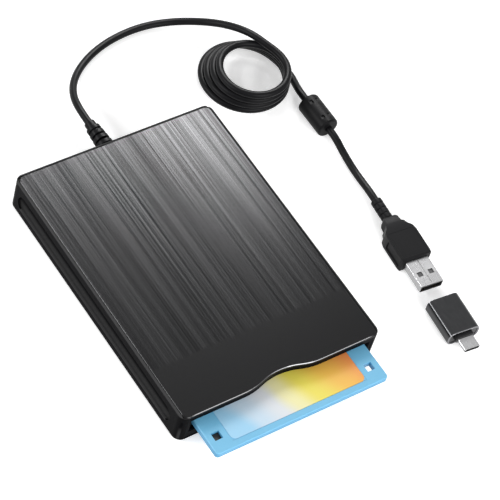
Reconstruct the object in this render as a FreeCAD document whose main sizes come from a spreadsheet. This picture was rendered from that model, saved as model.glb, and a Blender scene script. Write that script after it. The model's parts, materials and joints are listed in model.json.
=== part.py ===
import FreeCAD, Part
import math
import os
import Sketcher
from FreeCAD import Placement, Rotation, Vector

# Slim external floppy disk drive with a disk standing out of its slot, its cord, ferrite bead,
# plug and plug adapter. Millimetres; +X right seen from the front, front towards -Y, +Z up.
# The origin is on the table, under the middle of the housing.

os.makedirs("parts", exist_ok=True)
doc = FreeCAD.newDocument("floppy_drive")
sheet = doc.addObject("Spreadsheet::Sheet", "Dims")

DRIVING = [
    ("drive_wide", 104.0, "housing, left to right"),
    ("drive_deep", 142.0, "housing, front to back"),
    ("drive_tall", 18.5, "table to top panel"),
    ("foot_tall", 0.8, "gap under the housing"),
    ("corner_round", 4.0, "housing corners in plan"),
    ("edge_round", 0.9, "rounding along the top edge"),
    ("side_wall", 2.2, "side walls"),
    ("back_wall", 2.0, "back wall"),
    ("floor_top", 2.2, "inner floor of the bottom cover"),
    ("parting", 4.0, "joint line between the covers"),
    ("roof_low", 16.7, "inner face of the top cover"),
    ("lip_low", 14.9, "under side of the front lip"),
    ("lip_back", -66.0, "where the front lip ends inside"),
    ("mouth_half", 48.5, "half of the front opening between the side walls"),
    ("notch_half", 20.0, "half of the finger notch"),
    ("notch_deep", 3.3, "depth of the finger notch"),
    ("panel_thick", 0.9, "inlaid top panel"),
    ("panel_inset", 0.9, "frame left showing round the panel"),
    ("panel_gap", 0.1, "joint round the panel"),
    ("groove_low", 5.0, "side groove, lower edge"),
    ("groove_high", 13.8, "side groove, upper edge"),
    ("groove_front", -63.0, "side groove, front end"),
    ("groove_back", 64.7, "side groove, back end"),
    ("groove_deep", 1.2, "side groove, depth"),
    ("bezel_front", -70.8, "front face of the bezel"),
    ("bezel_back", -67.2, "back face of the bezel"),
    ("bezel_low", 2.3, "lower edge of the bezel"),
    ("slot_half", 46.2, "half of the disk slot"),
    ("slot_low", 6.8, "lower edge of the disk slot"),
    ("disk_wide", 90.0, "standard disk, width"),
    ("disk_deep", 94.0, "standard disk, depth"),
    ("disk_thick", 3.3, "standard disk, thickness"),
    ("disk_low", 9.4, "under side of the disk as it lies ejected"),
    ("disk_front", -89.0, "label edge of the disk as it lies ejected"),
    ("hub_back", 48.5, "label edge to the centre of the hub"),
    ("seat_travel", 19.0, "disk travel from ejected to seated"),
    ("lift", 2.2, "height the cradle drops by"),
    ("eject_travel", 4.5, "travel of the eject slider"),
    ("cord_thick", 3.6, "cord diameter"),
]
for row, (alias, value, note) in enumerate(DRIVING, start=1):
    sheet.set("A%d" % row, note)
    sheet.set("B%d" % row, repr(value))
    sheet.setAlias("B%d" % row, alias)
doc.recompute()


class Size:
    """A length that carries its value and the sheet expression that gives it."""

    def __init__(self, value, text):
        self.value, self.text = float(value), text

    def joined(self, sign, other, value):
        return Size(value, "(%s %s %s)" % (self.text, sign, as_size(other).text))

    def __add__(self, other):
        return self.joined("+", other, self.value + as_size(other).value)

    def __sub__(self, other):
        return self.joined("-", other, self.value - as_size(other).value)

    def __mul__(self, other):
        return self.joined("*", other, self.value * as_size(other).value)

    def __truediv__(self, other):
        return self.joined("/", other, self.value / as_size(other).value)

    def __radd__(self, other):
        return as_size(other) + self

    def __rsub__(self, other):
        return as_size(other) - self

    def __rmul__(self, other):
        return as_size(other) * self

    def __neg__(self):
        return Size(-self.value, "(0 - %s)" % self.text)


def as_size(number):
    return number if isinstance(number, Size) else Size(number, repr(float(number)))


class Dims:
    """Each cell of the sheet by its alias, as a Size."""


d = Dims()
for alias, value, note in DRIVING:
    setattr(d, alias, Size(sheet.get(alias), "Dims." + alias))


def bind(item, prop, size):
    item.setExpression(prop, as_size(size).text)


def place(item, x, y, z, turn=None):
    if turn is not None:
        item.Placement = Placement(Vector(0, 0, 0), turn)
    for axis, size in zip("xyz", (x, y, z)):
        bind(item, "Placement.Base." + axis, size)
    return item


ALONG_X = Rotation(Vector(0, 1, 0), 90)
ALONG_Y = Rotation(Vector(1, 0, 0), -90)


def block(label, x, y, z):
    """A box between two limits on each axis, each limit a Size or a number."""
    item = doc.addObject("Part::Box", label)
    for prop, (low, high) in zip(("Length", "Width", "Height"), (x, y, z)):
        bind(item, prop, as_size(high) - low)
    return place(item, x[0], y[0], z[0])


def rod(label, x, y, z, radius, length, turn=None):
    """A cylinder that starts at a point and runs along Z, or along X or Y when turned."""
    item = doc.addObject("Part::Cylinder", label)
    bind(item, "Radius", radius)
    bind(item, "Height", length)
    return place(item, x, y, z, turn)


def fused(label, *items):
    item = doc.addObject("Part::MultiFuse", label)
    item.Shapes = list(items)
    return item


def group(label, *items):
    item = doc.addObject("Part::Compound", label)
    item.Links = list(items)
    return item


def cut(label, base, *tools):
    item = doc.addObject("Part::Cut", label)
    item.Base = base
    item.Tool = tools[0] if len(tools) == 1 else fused(label + "_cuts", *tools)
    return item


def rounded(label, base, radius, test, kind="Fillet"):
    """The base with each edge that passes the test rounded, or chamfered."""
    doc.recompute()
    item = doc.addObject("Part::" + kind, label)
    item.Base = base
    size = as_size(radius).value
    item.Edges = [(n, size, size) for n, edge in enumerate(base.Shape.Edges, start=1) if test(edge)]
    return item


def upright(edge):
    low, high = edge.BoundBox.ZMin, edge.BoundBox.ZMax
    return high - low > 1e-6 and edge.BoundBox.XLength < 1e-6 and edge.BoundBox.YLength < 1e-6


def lengthwise(edge):
    return edge.BoundBox.YLength > 1e-6 and edge.BoundBox.XLength < 1e-6 and edge.BoundBox.ZLength < 1e-6


def from_shape(label, shape):
    item = doc.addObject("Part::Feature", label)
    item.Shape = shape
    item.Placement = Placement()
    return item


# Sketches and bodies

def new_body(label):
    return doc.addObject("PartDesign::Body", label)


def sketch_on(body, name, role="XY_Plane", offset=0):
    sketch = body.newObject("Sketcher::SketchObject", body.Label + "_" + name)
    base = next(item for item in body.Origin.OriginFeatures if item.Role == role)
    sketch.AttachmentSupport = [(base, "")]
    sketch.MapMode = "FlatFace"
    bind(sketch, "AttachmentOffset.Base.z", offset)
    return sketch


def pin_point(sketch, line, end, x, y):
    """Fixes one end of a line at a place given by two sizes."""
    for kind, size in (("DistanceX", x), ("DistanceY", y)):
        size = as_size(size)
        index = sketch.addConstraint(Sketcher.Constraint(kind, -1, 1, line, end, size.value))
        if size.text != repr(size.value):
            sketch.setExpression("Constraints[%d]" % index, size.text)


def polygon(sketch, corners):
    """A closed outline through corners, each pinned to its own sizes."""
    points = [Vector(as_size(x).value, as_size(y).value, 0) for x, y in corners]
    lines = []
    for here, there in zip(points, points[1:] + points[:1]):
        lines.append(sketch.addGeometry(Part.LineSegment(here, there), False))
    for first, second in zip(lines, lines[1:] + lines[:1]):
        sketch.addConstraint(Sketcher.Constraint("Coincident", first, 2, second, 1))
    for line, (x, y) in zip(lines, corners):
        pin_point(sketch, line, 1, x, y)
    return lines


def oblong(sketch, x, y):
    return polygon(sketch, [(x[0], y[0]), (x[1], y[0]), (x[1], y[1]), (x[0], y[1])])


def circle(sketch, x, y, radius):
    centre = Vector(as_size(x).value, as_size(y).value, 0)
    radius = as_size(radius)
    ring = sketch.addGeometry(Part.Circle(centre, Vector(0, 0, 1), radius.value), False)
    index = sketch.addConstraint(Sketcher.Constraint("Radius", ring, radius.value))
    if radius.text != repr(radius.value):
        sketch.setExpression("Constraints[%d]" % index, radius.text)
    pin_point(sketch, ring, 3, x, y)
    return ring


def pad(body, sketch, length, back=False):
    item = body.newObject("PartDesign::Pad", sketch.Label + "_pad")
    item.Profile = sketch
    bind(item, "Length", length)
    item.Reversed = back
    return item


def pocket(body, sketch, length, back=False):
    item = body.newObject("PartDesign::Pocket", sketch.Label + "_pocket")
    item.Profile = sketch
    bind(item, "Length", length)
    item.Reversed = back
    return item


def turned(body, sketch, kind="Revolution"):
    """Turns a profile that was drawn against the upright axis of its sketch."""
    item = body.newObject("PartDesign::" + kind, sketch.Label + "_turn")
    item.Profile = sketch
    item.ReferenceAxis = (sketch, ["V_Axis"])
    item.Angle = 360
    return item


def dress(body, kind, size, test):
    """A fillet or chamfer on the edges of the body's last feature that pass the test."""
    doc.recompute()
    base = body.Tip
    item = body.newObject("PartDesign::" + kind, "%s_%s" % (body.Label, kind.lower()))
    names = ["Edge%d" % n for n, edge in enumerate(base.Shape.Edges, start=1) if test(edge)]
    item.Base = (base, names)
    bind(item, "Radius" if kind == "Fillet" else "Size", size)
    return item


def near(value, target, slack=0.01):
    return abs(value - as_size(target).value) < slack


# Housing

half_wide = d.drive_wide / 2
half_deep = d.drive_deep / 2
inner_half = half_wide - d.side_wall
inner_back = half_deep - d.back_wall
POSTS = [(44.0, 63.0), (44.0, 32.0)]
POST_PLACES = [(side * x, y) for x, y in POSTS for side in (-1, 1)]
FEET = [(side * 42.0, y) for y in (-58.0, 56.0) for side in (-1, 1)]


def bottom_cover():
    body = new_body("bottom_cover")
    plan = sketch_on(body, "plan", offset=d.foot_tall)
    oblong(plan, (-half_wide, half_wide), (-half_deep, half_deep))
    pad(body, plan, d.parting - d.foot_tall)
    dress(body, "Fillet", d.corner_round, upright)
    dress(body, "Chamfer", 0.7, lambda edge: near(edge.BoundBox.ZMax, d.foot_tall))
    inside = sketch_on(body, "inside", offset=d.parting)
    oblong(inside, (-inner_half, inner_half), (d.bezel_back + 0.2, inner_back))
    pocket(body, inside, d.parting - d.floor_top)
    mouth = sketch_on(body, "mouth", offset=d.parting)
    oblong(mouth, (-d.mouth_half, d.mouth_half), (-half_deep - 1, d.bezel_back + 0.3))
    pocket(body, mouth, d.parting - d.floor_top)
    seats = sketch_on(body, "seats", offset=d.floor_top)
    for x, y in FEET:
        circle(seats, x * 0.8, y * 0.62, 3.0)
    pad(body, seats, 0.4)
    foot_wells = sketch_on(body, "foot_wells", offset=d.foot_tall)
    for x, y in FEET:
        circle(foot_wells, x, y, 4.2)
    pocket(body, foot_wells, 0.4, back=True)
    holes = sketch_on(body, "holes", offset=d.foot_tall)
    for x, y in POST_PLACES:
        circle(holes, x, y, 1.3)
    pocket(body, holes, 3.0, back=True)
    heads = sketch_on(body, "head_wells", offset=d.foot_tall)
    for x, y in POST_PLACES:
        circle(heads, x, y, 2.6)
    pocket(body, heads, 0.9, back=True)
    return body


def wave(sketch, outer_half, outer_y):
    """A closed outline whose front edge has the finger notch: an S on each side of a hollow."""
    half, deep = d.notch_half.value, d.notch_deep.value
    bend = ((half / 2) ** 2 + (deep / 2) ** 2) / deep
    front = -half_deep.value
    outer, far = as_size(outer_half).value, as_size(outer_y).value
    sweep = math.asin(half / 2 / bend)

    def arc(x, y, start, end):
        ring = Part.Circle(Vector(x, y, 0), Vector(0, 0, 1), bend)
        return sketch.addGeometry(Part.ArcOfCircle(ring, start, end), False)

    def line(x0, y0, x1, y1):
        return sketch.addGeometry(Part.LineSegment(Vector(x0, y0, 0), Vector(x1, y1, 0)), False)

    up = math.pi / 2
    left = line(-outer, front, -half, front)
    arc_left = arc(-half, front + bend, -up, -up + sweep)
    arc_mid = arc(0, front + deep - bend, up - sweep, up + sweep)
    arc_right = arc(half, front + bend, -up - sweep, -up)
    right = line(half, front, outer, front)
    side_right = line(outer, front, outer, far)
    back = line(outer, far, -outer, far)
    side_left = line(-outer, far, -outer, front)
    joints = [(left, 2, arc_left, 1), (arc_left, 2, arc_mid, 2), (arc_mid, 1, arc_right, 1),
              (arc_right, 2, right, 1)]
    for joint in joints:
        sketch.addConstraint(Sketcher.Constraint("Tangent", *joint))
    corners = [(right, 2, side_right, 1), (side_right, 2, back, 1), (back, 2, side_left, 1),
               (side_left, 2, left, 1)]
    for joint in corners:
        sketch.addConstraint(Sketcher.Constraint("Coincident", *joint))
    sketch.addConstraint(Sketcher.Constraint("Horizontal", left))
    sketch.addConstraint(Sketcher.Constraint("Horizontal", right))
    sketch.addConstraint(Sketcher.Constraint("Equal", arc_left, arc_mid))
    sketch.addConstraint(Sketcher.Constraint("Equal", arc_mid, arc_right))
    pin_point(sketch, left, 2, -d.notch_half, -half_deep)
    pin_point(sketch, right, 1, d.notch_half, -half_deep)
    index = sketch.addConstraint(Sketcher.Constraint("Radius", arc_mid, bend))
    sketch.setExpression("Constraints[%d]" % index, "((Dims.notch_half / 2) ^ 2 + (Dims.notch_deep / 2) ^ 2)"
                         " / Dims.notch_deep")
    pin_point(sketch, side_right, 2, outer_half, outer_y)
    pin_point(sketch, back, 2, -as_size(outer_half), outer_y)
    sketch.addConstraint(Sketcher.Constraint("Vertical", side_right))
    sketch.addConstraint(Sketcher.Constraint("Vertical", side_left))


def side_groove(body, side):
    """The long hollow with round ends in one side wall."""
    outer = half_wide + 1
    sketch = sketch_on(body, "groove_right" if side > 0 else "groove_left", "YZ_Plane", outer * side)
    low, high = d.groove_low, d.groove_high
    oblong(sketch, (d.groove_front, d.groove_back), (low, high))
    pocket(body, sketch, d.groove_deep + 1, back=side < 0)
    end_size = (high - low) / 2 - 0.05
    floor = half_wide.value - d.groove_deep.value

    def groove_end(edge):
        box = edge.BoundBox
        across = near(abs(box.XMin + box.XMax) / 2, (half_wide.value + floor) / 2)
        at_end = near(box.YMin, d.groove_front) or near(box.YMin, d.groove_back)
        flat = box.YLength < 1e-6 and box.ZLength < 1e-6
        return across and at_end and flat and box.XMin * side > 0

    dress(body, "Fillet", end_size, groove_end)


def top_cover():
    body = new_body("top_cover")
    plan = sketch_on(body, "plan", offset=d.parting)
    oblong(plan, (-half_wide, half_wide), (-half_deep, half_deep))
    pad(body, plan, d.drive_tall - d.parting)
    dress(body, "Fillet", d.corner_round, upright)

    def top_edge(edge):
        low = near(edge.BoundBox.ZMin, d.drive_tall)
        return low and not near(edge.BoundBox.YMax, -half_deep)

    dress(body, "Fillet", d.edge_round, top_edge)
    side_groove(body, 1)
    side_groove(body, -1)
    inside = sketch_on(body, "inside", offset=d.parting)
    oblong(inside, (-inner_half, inner_half), (d.lip_back, inner_back))
    pocket(body, inside, d.roof_low - d.parting, back=True)
    mouth = sketch_on(body, "mouth", offset=d.parting)
    oblong(mouth, (-d.mouth_half, d.mouth_half), (-half_deep - 1, d.lip_back + 1))
    pocket(body, mouth, d.lip_low - d.parting, back=True)
    lip = sketch_on(body, "lip", offset=d.drive_tall + 1)
    wave(lip, d.mouth_half, -half_deep - 8)
    pocket(body, lip, d.drive_tall + 1 - d.lip_low + 0.5)
    recess = sketch_on(body, "recess", offset=d.drive_tall)
    edge = half_wide - d.panel_inset
    oblong(recess, (-edge, edge), (-half_deep - 1, half_deep - d.panel_inset))
    pocket(body, recess, d.panel_thick)
    posts = sketch_on(body, "posts", offset=d.roof_low)
    for x, y in POST_PLACES:
        circle(posts, x, y, 2.7)
    pad(body, posts, d.roof_low - d.floor_top - 0.05, back=True)
    pilots = sketch_on(body, "pilots", offset=d.floor_top)
    for x, y in POST_PLACES:
        circle(pilots, x, y, 1.1)
    pocket(body, pilots, 7.0, back=True)
    cord_hole = sketch_on(body, "cord_hole", "XZ_Plane", -half_deep - 1)
    circle(cord_hole, 0, CORD_HEIGHT, 3.4)
    pocket(body, cord_hole, d.back_wall + 2, back=True)
    return body


def top_panel():
    body = new_body("top_panel")
    plan = sketch_on(body, "plan", offset=d.drive_tall - d.panel_thick)
    edge = half_wide - d.panel_inset - d.panel_gap
    wave(plan, edge, half_deep - d.panel_inset - d.panel_gap)
    pad(body, plan, d.panel_thick)
    dress(body, "Fillet", d.corner_round - d.panel_inset, upright_corner)

    def front_top(line):
        box = line.BoundBox
        at_front = box.YMax < (-half_deep + d.notch_deep).value + 0.01
        return near(box.ZMin, d.drive_tall) and at_front and box.XLength > 1

    dress(body, "Chamfer", 0.5, front_top)
    return body


def upright_corner(edge):
    return upright(edge) and abs(edge.BoundBox.XMax) > d.mouth_half.value


BUTTON = {"x": (31.9, 40.1), "z": (3.1, 5.7)}
LAMP = {"x": (-38.2, -35.8), "z": (3.7, 5.1)}


def front_bezel():
    body = new_body("front_bezel")
    plan = sketch_on(body, "front", "XZ_Plane", -d.bezel_front)
    outer, inner, low = d.mouth_half - 0.1, d.slot_half, d.bezel_low
    top = d.lip_low - 0.1
    polygon(plan, [(-outer, low), (outer, low), (outer, top), (inner, top), (inner, d.slot_low),
                   (-inner, d.slot_low), (-inner, top), (-outer, top)])
    pad(body, plan, d.bezel_back - d.bezel_front, back=True)

    def mouth_edge(edge):
        box = edge.BoundBox
        level = near(box.ZMin, d.slot_low) and near(box.ZMax, d.slot_low)
        cheek = near(abs(box.XMin), inner) and near(abs(box.XMax), inner) and box.ZLength > 1
        return near(box.YMax, d.bezel_front) and near(box.YMin, d.bezel_front) and (level or cheek)

    dress(body, "Chamfer", 0.6, mouth_edge)
    gap = 0.35
    ports = sketch_on(body, "ports", "XZ_Plane", -d.bezel_front)
    oblong(ports, (BUTTON["x"][0] - gap, BUTTON["x"][1] + gap), (BUTTON["z"][0] - gap, BUTTON["z"][1] + gap))
    oblong(ports, LAMP["x"], LAMP["z"])
    pocket(body, ports, d.bezel_back - d.bezel_front + 1)
    return body


def rubber_feet():
    return group("rubber_feet", *[
        rounded("foot_%d" % n, rod("foot_blank_%d" % n, x, y, 0, 4.0, d.foot_tall + 0.4), 0.25,
                lambda edge: edge.BoundBox.ZMax < 0.01, kind="Chamfer")
        for n, (x, y) in enumerate(FEET, start=1)])


def case_screws():
    screws = []
    for n, (x, y) in enumerate(POST_PLACES, start=1):
        head = rod("screw_head_%d" % n, x, y, d.foot_tall + 0.1, 2.3, 0.8)
        cross = [block("screw_slot_%d_%s" % (n, way), (x - a, x + a), (y - b, y + b), (0.0, 1.4))
                 for way, a, b in (("long", 1.3, 0.25), ("wide", 0.25, 1.3))]
        shank = rod("screw_shank_%d" % n, x, y, 1.7, 1.08, 6.6)
        screws.append(cut("screw_%d" % n, fused("screw_blank_%d" % n, head, shank), *cross))
    return group("case_screws", *screws)


def led_lens():
    x, z = LAMP["x"], LAMP["z"]
    window = block("lamp_window", x, (d.bezel_front - 0.15, d.bezel_back), z)
    flange = block("lamp_flange", (x[0] - 0.7, x[1] + 0.7), (d.bezel_back, d.bezel_back + 0.5),
                   (z[0] - 0.6, z[1] + 0.6))
    return fused("led_lens", window, flange)


# Chassis and cradle

CHASSIS_LOW, CHASSIS_TOP = 2.6, 3.4
FLANGE = (47.9, 48.5)
PIN_PLACES = [-52.0, 12.0]
PIN_HIGH = 11.0
SPINDLE_Y = d.disk_front + d.hub_back + d.seat_travel
SCREW_X, SCREW_Z = -9.0, 9.2
ROD_X, ROD_Z = 14.0, 5.2
LEVER_X, LEVER_Y = 30.0, 33.0
SPRING_PLACES = [-30.0, 30.0]
SPRING_Z = 5.4


def chassis_frame():
    front = block("chassis_front", (-FLANGE[1], FLANGE[1]), (-64.4, 28.0), (CHASSIS_LOW, CHASSIS_TOP))
    rear = block("chassis_rear", (-40.5, 40.5), (28.0, 68.0), (CHASSIS_LOW, CHASSIS_TOP))
    pieces = [front, rear]
    for side, name in ((-1, "left"), (1, "right")):
        x = sorted((side * FLANGE[0], side * FLANGE[1]))
        pieces.append(block("flange_" + name, x, (-64.0, 26.0), (CHASSIS_LOW, 13.6)))
    tab_x = (SCREW_X - 3.0, SCREW_X + 3.0)
    pieces.append(block("screw_bracket", tab_x, (25.0, 26.4), (CHASSIS_LOW, 11.6)))
    for n, y in enumerate((0.5, 47.0), start=1):
        x = (ROD_X - 2.2, ROD_X + 2.2)
        pieces.append(block("rod_bracket_%d" % n, x, (y, y + 1.5), (CHASSIS_LOW, 6.8)))
    for n, x in enumerate(SPRING_PLACES, start=1):
        pieces.append(block("spring_anchor_%d" % n, (x - 1.2, x + 1.2), (-64.4, -63.6), (CHASSIS_LOW, 6.6)))
    pieces.append(rod("lever_post", LEVER_X, LEVER_Y, CHASSIS_LOW, 1.5, 6.2))
    solid = fused("chassis_solid", *pieces)
    tools = [rod("motor_opening", 0, SPINDLE_Y, 2.0, 9.0, 2.0),
             block("light_window_left", (-38.0, -24.0), (-34.0, 14.0), (2.0, 4.0)),
             block("light_window_right", (24.0, 38.0), (-34.0, 14.0), (2.0, 4.0)),
             block("head_window", (-20.0, 8.0), (2.0, 22.0), (2.0, 4.0)),
             rod("screw_eye", SCREW_X, 24.0, SCREW_Z, 1.3, 4.0, ALONG_Y),
             rod("rod_eye", ROD_X, 0.0, ROD_Z, 1.25, 50.0, ALONG_Y)]
    for side, name in ((-1, "left"), (1, "right")):
        for n, y in enumerate(PIN_PLACES, start=1):
            x = sorted((side * (FLANGE[0] - 1), side * (FLANGE[1] + 1)))
            tools.append(block("guide_slot_%s_%d" % (name, n), x, (y - 1.15, y + 1.15),
                               (PIN_HIGH - d.lift - 1.2, PIN_HIGH + 1.2)))
    return cut("chassis_frame", solid, *tools)


def shield_cover():
    sheet_top = block("shield_sheet", (-45.5, 45.5), (-58.0, 28.0), (16.0, 16.4))
    tools = [block("shield_window_%d" % n, (x, x + 14.0), (-40.0, 8.0), (15.0, 17.0))
             for n, x in enumerate((-36.0, 22.0), start=1)]
    tools.append(block("arm_window", (-8.0, 8.0), (-6.0, 24.0), (15.0, 17.0)))
    plate = cut("shield_plate", sheet_top, *tools)
    return rounded("shield_cover", plate, 2.0, upright)


def disk_cradle():
    """Folded sheet that holds the disk: a top, two sides and a lip under each edge."""
    thick = 0.5
    roof_z = d.disk_low + d.disk_thick + 0.3
    lip_top = d.disk_low - 0.3
    side_in = d.disk_wide / 2 + 1.0
    y = (-64.0, 25.0)
    pieces = [block("cradle_roof", (-side_in, side_in), (-58.0, 25.0), (roof_z, roof_z + thick))]
    for side, name in ((-1, "left"), (1, "right")):
        wall_x = (side_in, side_in + thick) if side > 0 else (-side_in - thick, -side_in)
        lip_x = (side_in - 5.0, side_in) if side > 0 else (-side_in, -side_in + 5.0)
        pieces.append(block("cradle_wall_" + name, wall_x, y, (lip_top - thick, roof_z + thick)))
        pieces.append(block("cradle_lip_" + name, lip_x, y, (lip_top - thick, lip_top)))
        for n, pin_y in enumerate(PIN_PLACES, start=1):
            pin_x = side_in + thick / 2 if side > 0 else -side_in - thick / 2 - 2.2
            pieces.append(rod("cradle_pin_%s_%d" % (name, n), pin_x, pin_y, PIN_HIGH, 0.9, 2.2, ALONG_X))
    solid = fused("cradle_solid", *pieces)
    tools = [block("head_gap", (-9.0, 9.0), (-4.0, 30.0), (12.0, 15.0))]
    for n, x in enumerate((-34.0, 18.0), start=1):
        tools.append(block("cradle_window_%d" % n, (x, x + 16.0), (-46.0, 10.0), (12.0, 15.0)))
    return cut("disk_cradle", solid, *tools)


def eject_slider():
    """Cross plate under the disk with a rail each side whose sloping slots lift the cradle."""
    plate = block("slider_plate", (-47.4, 47.4), (-62.0, -50.0), (3.8, 4.4))
    stem = block("slider_stem", (34.0, 38.0), (-65.0, -61.0), (3.8, 4.4))
    pieces, tools = [plate, stem], []
    for side, name in ((-1, "left"), (1, "right")):
        x = (46.9, 47.5) if side > 0 else (-47.5, -46.9)
        pieces.append(block("slider_rail_" + name, x, (-62.0, 22.0), (3.8, 12.9)))
        for n, y in enumerate(PIN_PLACES, start=1):
            run = math.hypot(d.eject_travel.value, d.lift.value)
            slope = math.degrees(math.atan2(d.lift.value, d.eject_travel.value))
            slot = block("lift_slot_%s_%d" % (name, n), (0, 3.0), (-1.15, run + 1.15), (-1.15, 1.15))
            outer = doc.addObject("Part::Compound", "lift_slot_place_%s_%d" % (name, n))
            outer.Links = [slot]
            turn = Rotation(Vector(1, 0, 0), -slope)
            outer.Placement = Placement(Vector(min(x) - 1.0, y, PIN_HIGH), turn)
            tools.append(outer)
    for n, x in enumerate(SPRING_PLACES, start=1):
        pieces.append(block("spring_hook_%d" % n, (x - 1.5, x + 1.5), (-51.0, -50.2), (4.0, 6.2)))
        pieces.append(rod("spring_wire_%d" % n, x, -58.2, SPRING_Z, 0.3, 7.4, ALONG_Y))
        tools.append(block("anchor_notch_%d" % n, (x - 2.0, x + 2.0), (-63.0, -58.6), (3.0, 5.0)))
    tools.append(block("plate_window", (-20.0, 20.0), (-59.0, -53.0), (3.0, 5.0)))
    return cut("eject_slider", fused("slider_solid", *pieces), *tools)


def eject_button():
    face = block("button_cap", BUTTON["x"], (-71.4, -65.0), BUTTON["z"])
    cap = rounded("button_round", face, 0.5, lambda edge: near(edge.BoundBox.YMax, -71.4))
    return cut("eject_button", cap, block("button_slot", (33.8, 38.2), (-66.0, -64.0), (3.8, 4.4)))


# Spindle and heads

def motor_board():
    disc = rod("motor_disc", 0, SPINDLE_Y, CHASSIS_TOP, 21.0, 0.6)
    tail = block("motor_tail", (-28.0, -12.0), (-46.0, -26.0), (CHASSIS_TOP, CHASSIS_TOP + 0.6))
    bore = rod("motor_bore", 0, SPINDLE_Y, 3.0, 3.2, 2.0)
    return cut("motor_board", fused("motor_plate", disc, tail), bore)


def revolved(label, profile, x=0, y=0, z=0):
    """A turned piece: its profile is radius and height, and it stands on a point."""
    body = new_body(label)
    sketch = sketch_on(body, "profile", "XZ_Plane")
    polygon(sketch, profile)
    turned(body, sketch)
    place(body, x, y, z)
    return body


def spindle_bearing():
    profile = [(1.56, 3.5), (3.1, 3.5), (3.1, 4.0), (4.2, 4.0), (4.2, 5.7), (1.56, 5.7)]
    return revolved("spindle_bearing", profile, y=SPINDLE_Y)


def spindle_shaft():
    profile = [(0, 3.5), (1.5, 3.5), (1.5, 6.9), (1.2, 7.05), (0, 7.05)]
    return revolved("spindle_shaft", profile, y=SPINDLE_Y)


def spindle_rotor():
    profile = [(1.5, 5.95), (16.2, 5.95), (16.2, 4.6), (17.0, 4.6), (17.0, 6.5), (1.5, 6.5)]
    return revolved("spindle_rotor", profile, y=SPINDLE_Y)


def rotor_magnet():
    profile = [(15.0, 4.6), (16.2, 4.6), (16.2, 5.95), (15.0, 5.95)]
    return revolved("rotor_magnet", profile, y=SPINDLE_Y)


def spindle_hub():
    profile = [(1.5, 6.5), (9.0, 6.5), (9.0, 6.8), (8.8, 6.95), (1.5, 6.95)]
    return revolved("spindle_hub", profile, y=SPINDLE_Y)


def stator_coils():
    """Nine wound teeth round a core ring, one modelled and the rest a polar pattern."""
    body = new_body("stator_coils")
    core = sketch_on(body, "core", offset=4.0)
    circle(core, 0, 0, 6.2)
    circle(core, 0, 0, 4.3)
    pad(body, core, 1.4)
    tooth = sketch_on(body, "tooth", offset=4.3)
    oblong(tooth, (5.9, 14.4), (-0.7, 0.7))
    tooth_pad = pad(body, tooth, 0.6)
    coil = sketch_on(body, "winding", offset=4.0)
    oblong(coil, (7.0, 12.6), (-1.5, 1.5))
    coil_pad = pad(body, coil, 1.5)
    doc.recompute()
    ring = body.newObject("PartDesign::PolarPattern", "stator_ring")
    ring.Originals = [tooth_pad, coil_pad]
    ring.Axis = (core, ["N_Axis"])
    ring.Angle = 360
    ring.Occurrences = 9
    body.Tip = ring
    place(body, 0, SPINDLE_Y, 0)
    return body


def guide_rod():
    return rod("guide_rod", ROD_X, 0.5, ROD_Z, 1.25, 48.0, ALONG_Y)


def head_carriage():
    tray = block("carriage_tray", (-6.0, 11.4), (14.0, 46.0), (4.4, 6.0))
    bush = block("carriage_bush", (11.0, 17.0), (20.0, 40.0), (3.7, 6.7))
    nut = block("carriage_nut", (-12.0, 6.0), (42.0, 46.0), (4.4, 11.0))
    head = rod("head_seat", 0, 18.0, 6.0, 2.6, 0.7)
    tools = [rod("bush_bore", ROD_X, 10.0, ROD_Z, 1.3, 40.0, ALONG_Y),
             rod("nut_bore", SCREW_X, 40.0, SCREW_Z, 1.6, 8.0, ALONG_Y),
             block("carriage_window", (-3.0, 8.0), (24.0, 38.0), (4.0, 7.0))]
    hinge = rod("arm_hinge_pin", -6.0, 44.0, 13.0, 0.8, 12.0, ALONG_X)
    ears = [block("arm_ear_%d" % n, (x, x + 1.4), (42.6, 45.4), (10.9, 14.0))
            for n, x in enumerate((-6.0, 4.6), start=1)]
    return fused("head_carriage", cut("carriage_cut", fused("carriage_solid", tray, bush, nut, head), *tools),
                 hinge, *ears)


def lower_head():
    return block("lower_head", (-1.6, 1.6), (16.4, 19.6), (6.7, 6.95))


def upper_head_arm():
    beam = block("arm_beam", (-4.4, 4.4), (14.5, 44.8), (13.6, 14.4))
    knuckle = rod("arm_knuckle", -4.4, 44.0, 13.0, 1.8, 8.8, ALONG_X)
    taper = [block("arm_taper_%d" % n, x, (13.0, 30.0), (13.0, 15.0))
             for n, x in enumerate(((-6.0, -3.0), (3.0, 6.0)), start=1)]
    solid = cut("arm_solid", fused("arm_blank", beam, knuckle), *taper)
    return cut("upper_head_arm", solid, rod("arm_bore", -6.0, 44.0, 13.0, 0.85, 12.0, ALONG_X))


def upper_head():
    return block("upper_head", (-1.6, 1.6), (16.4, 19.6), (13.05, 13.6))


def lead_screw():
    return rod("lead_screw", SCREW_X, 25.0, SCREW_Z, 1.25, 27.0, ALONG_Y)


def stepper_motor():
    can = rod("stepper_can", SCREW_X, 50.5, SCREW_Z, 5.6, 13.5, ALONG_Y)
    flange = block("stepper_flange", (SCREW_X - 6.0, SCREW_X + 6.0), (49.5, 50.5), (CHASSIS_TOP, 14.8))
    bore = rod("stepper_bore", SCREW_X, 49.0, SCREW_Z, 1.3, 3.2, ALONG_Y)
    return cut("stepper_motor", fused("stepper_solid", can, flange), bore)


# Boards, switches, lever

BOARD_TOP = CHASSIS_TOP + 1.0


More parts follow.
